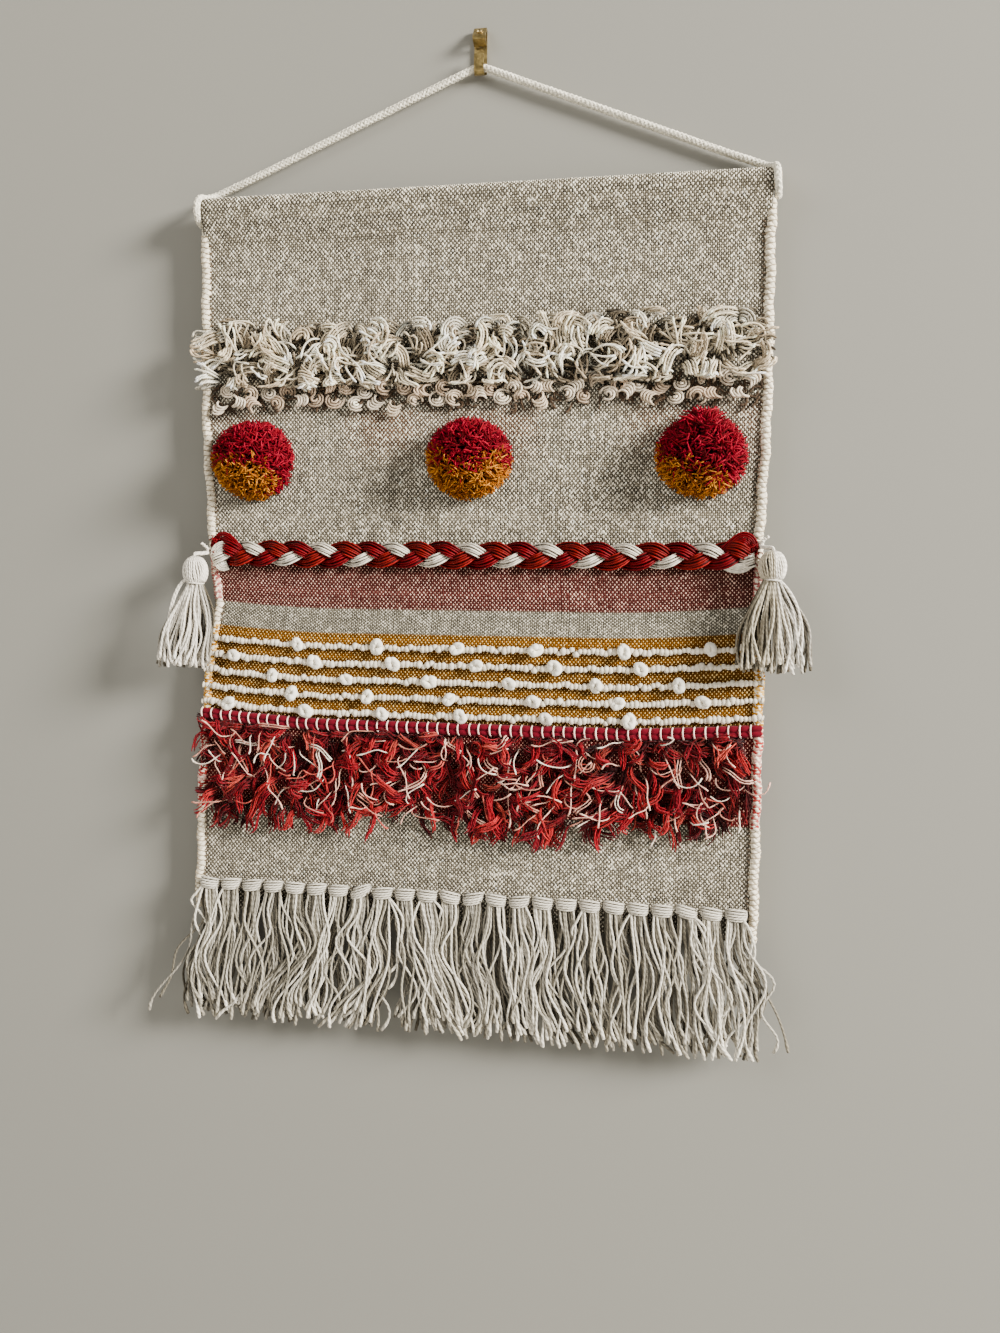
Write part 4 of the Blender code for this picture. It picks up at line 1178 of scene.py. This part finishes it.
def makePlait():
    for order, (name, colour) in enumerate(plait["colours"].items()):
        rng = np.random.default_rng(60 + order)
        low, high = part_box("braid_strand_" + name)
        zMid = panelHigh.z - plait["drop"]
        wide = plait["halfWidth"][name]
        count = round((high.x - low.x) / 0.0019)
        x = np.linspace(low.x, high.x, count)
        angle = math.tau * ((x - plait["shift"]) / plait["pitch"] + order / 3)
        z = zMid + plait["sway"] * np.sin(angle) + rowRise(x, np.full(count, zMid)) * 0.6
        h = 0.0042 - plait["weave"] * np.sin(2 * angle)
        path = onCloth(x, z, h)
        side = unit(np.cross(unit(np.gradient(path, axis=0)), outward))
        fat = 0.82 + 0.18 * np.clip(-np.sin(2 * angle), 0, 1) ** 0.7
        strands = []
        yarns = plait["yarns"][name]
        for k in range(yarns):
            u = -1 + 2 * (k + 0.5) / yarns
            out = plait["halfDepth"] * np.sqrt(max(0.0, 1 - u * u)) * fat
            wave = 0.00030 * np.sin(angle * 1.5 + k * 2.1)
            points = path + side * (u * wide * fat + wave)[:, None] + outward * out[:, None]
            strands.append((points, plait["yarn"] * rng.uniform(0.90, 1.06), shade(colour, rng, 0.16)))
        for lane in (-1, 0, 1):  # painted shade: dark yarns behind, so that no cloth shows through
            back = path + side * (lane * 0.58 * wide * fat)[:, None] - outward * 0.0006
            strands.append((back, (0.0020 - 0.0004 * abs(lane)) * fat, np.array(colour) * 0.16))
        for foldName, end, number, pitch, route in plait["folds"]:
            if foldName == name:
                endX = low.x if end == "left" else high.x
                strands += foldedEnd(rng, endX, zMid, number, pitch / 1000, route, colour)
        yarnPiece("plait" + name.capitalize(), strands, 6, "panel", "braid_strand_" + name,
                  glossYarn)


def foldedEnd(rng, endX, zMid, yarns, pitch, route, colour):
    # the yarns of one strand folded back at the plait's end, with a fuzz of cut fibres on the red one
    zMid = zMid + float(rowRise(endX, zMid)) * 0.6
    places = [(endX + x / 1000, h / 1000, zMid + z / 1000) for x, z, h in route]
    path = resample(curveThrough(places, 0.001), 22)
    strands = []
    # painted shade on the folded yarns where they lie low
    for px, pz in alongside(path[:, 0], path[:, 2], yarns, pitch, rng):
        strands.append((onCloth(px, pz, path[:, 1]), plait["foldYarn"],
                        paintShadeAndTipHighlight(shade(colour, rng, 0.16), path[:, 1], 0.001, 0.006, 0.5)))
    for lane in (-0.30, 0.0, 0.30):  # painted shade: dark yarns behind them
        middle = alongside(path[:, 0], path[:, 2], 1, 0, rng)[0]
        bx, bz = shifted(*middle, lane * pitch * yarns)
        strands.append((onCloth(bx, bz, path[:, 1] - 0.0012), plait["foldBack"], np.array(colour) * 0.25))
    if colour[0] < 0.5:
        outer = endX + (0.0005 if route[0][0] > -5 else -0.0005)
        for _ in range(plait["fuzzCount"]):
            x0, z0 = outer + rng.normal(0, 0.0016), zMid + rng.uniform(0.0005, 0.0105)
            x, z, h = inPlanePath(rng, x0, z0, rng.uniform(0, math.tau), 0.0035, rng.normal(0, 2),
                                  rng.uniform(0.002, 0.0065), 6)
            strands.append((onCloth(x, z, h), plait["fuzz"], shade(colour, rng, 0.3)))
    return strands


makePlait()
print("plait made")


pompom = {
    "yarns": 1900,
    "yarn": 0.00060,
    "curl": 1.5,
    "crimson": ((0.175, 0.0002, 0.0075), (0.27, 0.0015, 0.017), (0.10, 0.0002, 0.004)),
    "mustard": ((0.34, 0.105, 0.004), (0.19, 0.048, 0.002), (0.50, 0.195, 0.020)),
    # painted shade: the colour towards which every yarn darkens deep inside the pom-pom
    "core": (0.020, 0.0004, 0.001),
    # where the colours of each one centre, and how far it hangs to the side
    "faces": {"left": (0.36, -0.14), "middle": (0.17, -0.13), "right": (-0.02, -0.13)},
    "shift": {"left": -0.004, "middle": -0.002, "right": 0.0},
}


def isMustard(which, u, v):
    # u to the right and v up, from the middle, in shares of the radius
    edges = {
        "left": ((-1.0, -0.3, 0.15, 0.40, 0.50), (0.06, 0.03, -0.06, -0.30, -1.1)),
        "middle": ((-1.0, -0.45, -0.12, 0.10, 0.55, 1.0), (0.20, -0.12, -0.38, -0.10, 0.14, -0.10)),
        "right": ((-1.0, -0.65, -0.28, -0.20, 0.24, 0.62, 0.76),
                  (0.05, -0.06, -0.09, -0.38, -0.50, -0.56, -1.1)),
    }
    return v < np.interp(u, *edges[which])


def makePompom(which, seed):
    rng = np.random.default_rng(seed)
    low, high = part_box("pompom_" + which)
    middle = (low + high) / 2
    radii = Vector(((high.x - low.x) / 2, high.y - low.y, (high.z - low.z) / 2))
    strands = []
    count = pompom["yarns"]
    golden = math.pi * (3 - math.sqrt(5))
    for k in range(count):
        t = (k + 0.5) / count
        away = 1 - 1.12 * t  # from the front of the dome to just behind its rim
        ring = math.sqrt(max(0, 1 - away * away))
        turn = k * golden
        u, v = ring * math.cos(turn), ring * math.sin(turn)
        direction = np.array([u, -away, v]) + rng.normal(0, 0.07, 3)
        direction /= np.linalg.norm(direction)
        reach = rng.uniform(0.86, 1.02)
        # the right one has a peak on top and a hollow in front
        if which == "right" and v > 0.55 and abs(u - 0.05) < 0.22:
            reach *= 1.16
        if which == "right" and u * u + v * v < 0.10:
            reach *= 0.86
        steps = 7
        s = np.linspace(0.42, 1, steps)
        curl = rng.normal(0, pompom["curl"], 3)
        curl -= curl.dot(direction) * direction
        path = direction * (s * reach)[:, None] + curl * (np.clip(s - 0.72, 0, 1) ** 1.6)[:, None]
        far = np.linalg.norm(path, axis=1)
        path *= np.minimum(1, (reach + 0.02) / far)[:, None]
        points = path * np.array(radii) * 0.985
        points[:, 1] = np.minimum(points[:, 1], -0.0004)
        points += np.array([middle.x + pompom["shift"][which], high.y, middle.z])
        du, dv = pompom["faces"][which]
        seenU, seenV = u - du * abs(away), v - dv * abs(away)
        mustard = isMustard(which, seenU + rng.normal(0, 0.035), seenV + rng.normal(0, 0.035))
        palette = pompom["mustard"] if mustard else pompom["crimson"]
        colour = np.array(shade(palette[rng.integers(3)], rng, 0.15))
        # painted shade: each yarn fades to the dark core colour towards the middle
        ramp = smoothStep(s * reach, 0.62, 0.97)[:, None]
        strands.append((points, tapered(steps, pompom["yarn"], 0.55, 1.05),
                        np.array(pompom["core"]) * (1 - ramp) + colour * ramp))
    yarnPiece("pompom" + which.capitalize(), strands, 4, f"pompom_{which}_body",
              "pompom_" + which, fineYarn)


for place, which in enumerate(("left", "middle", "right")):
    makePompom(which, 70 + place)


tieKnot = {"yarn": 0.0009, "tail": 0.009, "colour": (0.34, 0.02, 0.03)}


def makePomTie(which, seed):
    rng = np.random.default_rng(seed)
    low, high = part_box("pompom_tie_" + which)
    middle = (low + high) / 2
    backY = high.y - 0.0018
    thread = [(middle.x, y, middle.z) for y in (low.y + 0.001, middle.y, backY)]
    strands = [(thread, tieKnot["yarn"], np.array(tieKnot["colour"]))]
    a = np.linspace(0, math.tau * 1.5, 26)
    for lean, size in ((0.5, 0.0015), (-0.6, 0.0014)):
        points = joined(middle.x + size * np.cos(a), backY + 0.0008 * np.sin(a + lean),
                        middle.z + size * np.sin(a))
        strands.append((points, tieKnot["yarn"], shade(tieKnot["colour"], rng, 0.1)))
    for side in (-1, 1):
        s = np.linspace(0, 1, 9)
        points = joined(middle.x + side * (0.001 + 0.004 * s), backY + 0.0004 + 0.0004 * np.sin(s * 3),
                        middle.z - 0.001 - tieKnot["tail"] * s**1.4)
        strands.append((points, tapered(9, tieKnot["yarn"] * 0.8), shade(tieKnot["colour"], rng, 0.1)))
    yarnPiece("pompomTie" + which.capitalize(), strands, 6, "panel", "pompom_tie_" + which,
              woolYarn)


for place, which in enumerate(("left", "middle", "right")):
    makePomTie(which, 80 + place)
print("pom-poms made")


tassel = {
    "yarn": 0.00080,
    "strands": 78,
    "headStrands": 34,
    "strayShare": 0.14,
    "white": (0.90, 0.84, 0.74),
    "grey": (0.52, 0.46, 0.35),
    # painted shade: the colour of strands that lie at the back of the tassel
    "deep": (0.085, 0.072, 0.050),
    "raise": 0.0068,  # the neck is tied a little above the middle of its band
    "taller": 0.0034,
    "inwards": 0.0015,
    "spiralTurn": 2.39996,  # spreads the skirt's yarns evenly round its middle
}


def tasselPlaces(side, name):
    headLow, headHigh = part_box("tassel_head_" + name)
    skirtLow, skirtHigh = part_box("tassel_skirt_" + name)
    wrapLow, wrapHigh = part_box("tassel_wrap_" + name)
    tieLow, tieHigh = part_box("tassel_tie_" + name)
    return {
        "x": (headLow.x + headHigh.x) / 2 - side * tassel["inwards"],
        "y": (headLow.y + headHigh.y) / 2,
        "top": headHigh.z + tassel["taller"],
        "neck": (wrapLow.z + wrapHigh.z) / 2 + tassel["raise"],
        "headX": (headHigh.x - headLow.x) / 2,
        "headY": (headHigh.y - headLow.y) / 2,
        "wrap": (wrapHigh.x - wrapLow.x) / 2 - 0.0011,
        "hem": skirtLow.z,
        "hemX": (skirtLow.x + skirtHigh.x) / 2,
        "hemHalf": (skirtHigh.x - skirtLow.x) / 2,
        "tieX": (tieLow.x if side > 0 else tieHigh.x) + side * 0.0011,
        "knot": tieHigh.z - 0.0030,
    }


def tasselPiece(part, name, strands, body):
    yarnPiece("tassel" + part + name.capitalize(), strands, 6, body,
              f"tassel_{part.lower()}_{name}", cottonYarn)


def makeTasselSkirt(rng, side, name, at):
    white, deep = np.array(tassel["white"]), np.array(tassel["deep"])
    yarn = tassel["yarn"]
    s = np.linspace(0, 1, 20)
    strands = []
    for k in range(tassel["strands"]):
        t = (k + 0.5) / tassel["strands"]
        turn = k * tassel["spiralTurn"]
        ring = math.sqrt(t)
        u, w = ring * math.cos(turn), ring * math.sin(turn)
        stray = rng.random() < tassel["strayShare"]
        lengthShare = rng.uniform(0.88, 1.0)
        z = at["neck"] + 0.001 - (at["neck"] - at["hem"]) * s * lengthShare
        spread = smoothStep(s, -0.15, 0.7)
        aim = np.clip(u + rng.normal(0, 0.16 if stray else 0.07), -1, 1)
        x = at["x"] + (at["hemX"] - at["x"]) * s + u * 0.0036 * (1 - spread)
        x = x + aim * (at["hemHalf"] * 0.93) * spread
        x = x + rng.uniform(0.0008, 0.0030) * np.sin(s * rng.uniform(4, 9) + rng.random() * 6) * s
        if stray:
            x = x + rng.choice([-1, 1]) * 0.004 * np.sin(math.pi * s)
        y = at["y"] + w * (0.0034 + 0.0040 * spread) - 0.002 * s + 0.0008 * np.sin(s * 8 + k)
        # painted shade: strands at the back of the skirt are darker, and on the right tassel the strands
        # towards its left are painted greyer
        front = float(np.clip(-w * 0.80 + 0.24, 0, 1))
        pale = 1.0 if side < 0 else float(smoothStep(u, -0.05, 0.55))
        lit = np.array(tassel["grey"]) * (1 - pale) + white * pale
        base = deep * (1 - front) + lit * front
        # painted shade near the neck and a painted highlight on the cut ends
        strands.append((joined(x, y, z), tapered(20, yarn, 0.8, 1.5),
                        paintShadeAndTipHighlight(shade(base, rng, 0.08), s, -0.3, 0.25, 0.5, 1.2)))
    for k in range(2):
        # one strand bows out from the neck
        if side > 0:
            x = at["x"] + 0.004 + (0.0165 - 0.002 * k) * np.sin(s * 2.0) ** 0.9
            z = at["neck"] - 0.001 - (0.050 - 0.012 * k) * s**1.15
        else:
            x = at["x"] - 0.003 - 0.011 * np.sin(s * 1.7) - 0.008 * s
            z = at["neck"] + 0.002 + 0.006 * np.sin(np.clip(s * 3.4, 0, math.pi))
            z = z - (0.052 - 0.008 * k) * s**1.3
        strands.append((joined(x, at["y"] - 0.003, z), tapered(20, yarn, 0.8, 1.4), white))
    tasselPiece("Skirt", name, strands, "tassel_" + name)


def makeTasselHead(rng, side, name, at):
    white = np.array(tassel["white"])
    s = np.linspace(0, 1, 14)
    roundness = np.sin(np.arccos(np.clip(1 - 1.72 * s, -1, 1)))
    rx = 0.0010 + (at["headX"] - 0.0022) * roundness
    ry = 0.0010 + (at["headY"] - 0.0022) * roundness
    z = at["top"] - 0.0006 - (at["top"] - at["neck"]) * s
    strands = []
    for k in range(tassel["headStrands"]):
        turn = math.tau * (k + rng.normal(0, 0.12)) / tassel["headStrands"]
        drift = turn + 0.22 * s + 0.05 * np.sin(s * 6 + k)
        # painted shade: on the right tassel the head's strands towards its left are painted grey, and all
        # are darker at the top and the neck
        light = white if (side < 0 or math.cos(turn) > 0.1) else np.array(tassel["grey"]) * 1.15
        colour = paintShadeAndTipHighlight(shade(light, rng, 0.06), np.sin(math.pi * s), -0.4, 0.6, 0.55)
        points = joined(at["x"] + rx * np.cos(drift), at["y"] + ry * np.sin(drift), z)
        strands.append((points, tassel["yarn"] * rng.uniform(0.78, 0.92), colour))
    # painted shade: a dark core inside the head
    core = joined(at["x"], at["y"], np.linspace(at["top"] - 0.004, at["neck"], 8))
    fat = np.array([0.002, 0.0055, 0.0070, 0.0076, 0.0074, 0.0064, 0.0048, 0.004]) * at["headY"] / 0.010
    strands.append((core, fat, np.array(tassel["deep"])))
    tasselPiece("Head", name, strands, "tassel_" + name)


def makeTasselWrap(name, at):
    a = np.linspace(0, math.tau * 3.4, 100)
    points = joined(at["x"] + at["wrap"] * np.cos(a), at["y"] + at["wrap"] * np.sin(a) * 0.95,
                    at["neck"] + 0.0013 - 0.0026 * a / a[-1] + 0.0004 * np.sin(a * 1.3))
    strands = [(points, tassel["yarn"] * 0.95, np.array(tassel["white"]))]
    tasselPiece("Wrap", name, strands, "tassel_" + name)


def makeTasselTie(rng, side, name, at):
    # a knot on the side rope, a short run to the head and three cut tails
    white, yarn = np.array(tassel["white"]), tassel["yarn"]
    cx, cy, top, tieX, knotZ = at["x"], at["y"], at["top"], at["tieX"], at["knot"]
    frontOfRope = rodY - ropeRadius - 0.0012
    strands = []
    route = [(tieX, frontOfRope, knotZ), (tieX + side * 0.0010, frontOfRope - 0.0024, knotZ - 0.001),
             ((tieX + cx) / 2, (frontOfRope + cy) / 2 - 0.001, (knotZ + top) / 2),
             (cx, cy, top + 0.0012), (cx, cy, top - 0.002)]
    for _ in range(4):
        path = np.array(curveThrough(route, 0.0012)) + rng.normal(0, 0.0006, 3)
        strands.append((path, yarn, shade(white, rng, 0.05)))
    a = np.linspace(0, math.tau * 1.4, 30)
    for lean in (0.4, -0.5):
        points = joined(tieX + 0.0022 * np.cos(a), frontOfRope - 0.0006 - 0.0008 * np.sin(a + lean),
                        knotZ + 0.0020 * np.sin(a))
        strands.append((points, yarn * 1.1, shade(white, rng, 0.05)))
    s = np.linspace(0, 1, 10)
    for k in range(3):
        points = joined(tieX + side * (0.001 + (0.001 + 0.0018 * k) * s), frontOfRope - 0.002 - 0.002 * s,
                        knotZ + (0.004 + 0.0012 * k) * s + 0.0006 * np.sin(s * 4))
        strands.append((points, tapered(10, yarn, 0.8, 1.6), shade(white, rng, 0.05)))
    tasselPiece("Tie", name, strands, f"tassel_{name}_tie")


def makeTassel(side, name, seed):
    rng = np.random.default_rng(seed)
    at = tasselPlaces(side, name)
    makeTasselSkirt(rng, side, name, at)
    makeTasselHead(rng, side, name, at)
    makeTasselWrap(name, at)
    makeTasselTie(rng, side, name, at)


makeTassel(-1, "left", 90)
makeTassel(1, "right", 91)
print("tassels made")


fringe = {
    "count": 24,
    "strands": 23,
    "yarn": 0.00090,
    "knotYarns": 5,
    "knotYarn": 0.00080,
    "knotCore": 0.0034,
    "knotHeight": 0.0102,
    "steps": 22,
    "strayShare": 0.22,
    "pale": (0.76, 0.705, 0.60),
    "grey": (0.38, 0.345, 0.275),
    # painted shade: the colour of strands that lie at the back and of the knot's core
    "deep": (0.070, 0.060, 0.042),
    # slack yarns of some bundles: side, drop, bow and how far they turn back
    "loops": {
        1: ((-1, 0.030, 0.010, 0.006), (-1, 0.052, 0.007, 0.0)),
        2: ((-1, 0.064, 0.012, 0.0),),
        9: ((1, 0.058, 0.015, 0.010), (1, 0.070, 0.011, 0.0)),
        11: ((1, 0.030, 0.009, 0.008), (-1, 0.066, 0.010, 0.0)),
        15: ((1, 0.062, 0.009, 0.0),),
        18: ((-1, 0.040, 0.008, 0.008),),
        20: ((-1, 0.075, 0.014, 0.0),),
        22: ((1, 0.034, 0.011, 0.010), (1, 0.072, 0.013, 0.012)),
        24: ((1, 0.070, 0.011, 0.008), (1, 0.045, 0.009, 0.0)),
    },
    # how far each bundle's tips hang to the side, left to right, in mm
    "leans": (-9, -10, -8, -8, -10, -12, -14, -12, -13, 9, 13, 10,
              7, 8, 10, 8, 8, 8, 10, 9, 11, 12, 14, 15),
}


def makeFringe(number):
    rng = np.random.default_rng(100 + number)
    low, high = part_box(f"fringe_bundle_{number:02d}")
    cx = (low.x + high.x) / 2
    top, bottom = high.z, low.z
    half = (high.x - low.x) / 2
    height = fringe["knotHeight"]
    backY = high.y
    strands = []
    # the knot: yarns laid side by side across the front, turned under at both ends
    tip = rng.normal(0, 0.0009)
    for k in range(fringe["knotYarns"]):
        v = (k + 0.5) / fringe["knotYarns"]
        a = np.linspace(-0.56 * math.pi, 0.56 * math.pi, 15)
        bulge = math.sin(math.pi * (0.16 + 0.68 * v)) ** 0.6
        full = np.clip(np.cos(a), 0, 1) ** 0.5
        x = cx + (half - 0.0002) * np.sin(a) * (0.80 + 0.20 * bulge)
        z = top - height * 0.5 + height * (0.46 - 0.92 * v) * (0.40 + 0.60 * full) + tip * np.sin(a)
        out = 0.0018 + 0.0070 * bulge * np.clip(np.cos(a), 0, 1) ** 0.55
        # painted shade: the knot's yarns darken where they turn under at its sides
        paintedKnotShade = 0.22 + 0.78 * full
        colour = np.array(shade(fringe["pale"], rng, 0.07))[None, :] * paintedKnotShade[:, None]
        strands.append((joined(x, backY - out, z), fringe["knotYarn"] * rng.uniform(0.88, 1.08), colour))
    # painted shade: a dark core behind the knot
    core = joined(np.linspace(cx - half * 0.86, cx + half * 0.86, 6), backY - 0.0042, top - height / 2)
    strands.append((core, fringe["knotCore"], np.array(fringe["deep"])))
    lean = fringe["leans"][number - 1] / 1000
    wave = 0.0062 * math.sin(number * 0.83 + 0.4) + rng.normal(0, 0.0015)
    curve = number * 0.45
    for k in range(fringe["strands"]):
        u = (k + 0.5) / fringe["strands"] * 2 - 1
        s = np.linspace(0, 1, fringe["steps"])
        front = rng.random()
        stray = rng.random() < fringe["strayShare"]
        reach = (top - height * 0.7 - bottom) * rng.uniform(0.88, 1.05)
        drift = lean + rng.normal(0, 0.014 if stray else 0.0050)
        phase, waves = rng.random() * math.tau, rng.uniform(0.9, 2.2)
        size = rng.uniform(0.0012, 0.0040) * (1.8 if stray else 1.0)
        x = cx + u * half * (0.78 + 0.42 * s**0.8) + drift * s**1.25
        x = x + wave * np.sin(math.pi * s * 1.9 + curve + u * 0.5) * smoothStep(s, 0, 0.55)
        x = x + size * np.sin(math.tau * waves * s + phase) * smoothStep(s, 0, 0.4)
        y = backY - 0.0016 - (0.0048 + 0.0012 * s) * front - 0.0012 * smoothStep(s, 0, 0.2)
        y = y + 0.0010 * np.sin(math.tau * waves * 0.8 * s + phase * 1.7) * s
        z = top - height * 0.7 - reach * s
        pale = np.array(fringe["pale"] if rng.random() < 0.58 else fringe["grey"])
        # painted shade: strands at the back are darker, towards the deep colour, and each is darker near the
        # knot, with a painted highlight on its cut end
        base = np.array(fringe["deep"]) * (1 - front**1.5) + pale * front**1.5
        colour = paintShadeAndTipHighlight(shade(base, rng, 0.08), s, -0.25, 0.10, 0.45, 1.25)
        strands.append((joined(x, y, z), tapered(fringe["steps"], fringe["yarn"], 0.8, 1.55), colour))
    for side, drop, wide, turnsBack in fringe["loops"].get(number, ()):
        # a slack yarn that bows out and comes back
        s = np.linspace(0, 1, fringe["steps"])
        x = cx + side * (half * 0.5 + wide * np.sin(math.pi * s) ** 0.8 * (1 - 0.2 * s))
        x = x + 0.003 * np.sin(s * 9) * s
        z = top - height * 0.7 - drop * s + turnsBack * np.sin(math.pi * s) ** 2 * s
        y = backY - 0.0062 - 0.0012 * np.sin(s * 5)
        # painted shade near the knot and a painted highlight at the end
        strands.append((joined(x, y, z), tapered(fringe["steps"], fringe["yarn"], 0.8, 1.5),
                        paintShadeAndTipHighlight(fringe["pale"], s, -0.25, 0.10, 0.45, 1.2)))
    yarnPiece(f"fringe{number:02d}", strands, 5, f"fringe_{number:02d}",
              f"fringe_bundle_{number:02d}", cottonYarn)


for number in range(1, fringe["count"] + 1):
    makeFringe(number)
print("fringe made")


def toned(tree, shader, colour, tone):
    base = tree.nodes.new("ShaderNodeRGB")
    base.outputs[0].default_value = (*colour, 1)
    tree.links.new(scaledColour(tree, base.outputs[0], tone), shader.inputs["Base Color"])


def brassMaterial(name, colour, roughness):
    material, tree, shader = newMaterial(name, roughness, 0.5)
    shader.inputs["Metallic"].default_value = 1.0
    place = objectPlace(tree)
    toned(tree, shader, colour, rangeNode(tree, noiseNode(tree, place, 260.0, 4.0), 0.35, 0.7, 0.55, 1.15))
    wear = rangeNode(tree, noiseNode(tree, place, 900.0, 2.0), 0.3, 0.7, roughness, roughness + 0.2)
    tree.links.new(wear, shader.inputs["Roughness"])
    return material


def woodMaterial():
    material, tree, shader = newMaterial("dowelWood", 0.6, 0.4)
    stretch = tree.nodes.new("ShaderNodeMapping")
    stretch.inputs["Scale"].default_value = (12.0, 260.0, 260.0)
    tree.links.new(objectPlace(tree), stretch.inputs["Vector"])
    grain = noiseNode(tree, stretch.outputs[0], 3.0, 4.0)
    toned(tree, shader, (0.50, 0.32, 0.17), rangeNode(tree, grain, 0.3, 0.7, 0.65, 1.1))
    addBump(tree, shader, grain, 0.0003)
    return material


def dress(node, material):
    nodes[node].data.materials.clear()
    nodes[node].data.materials.append(material)


dress("picture_hook", brassMaterial("agedBrass", (0.42, 0.31, 0.12), 0.32))
dress("hook_nail", brassMaterial("nailBrass", (0.50, 0.38, 0.18), 0.25))
dress("top_rod", woodMaterial())
print("brass and wood ready")
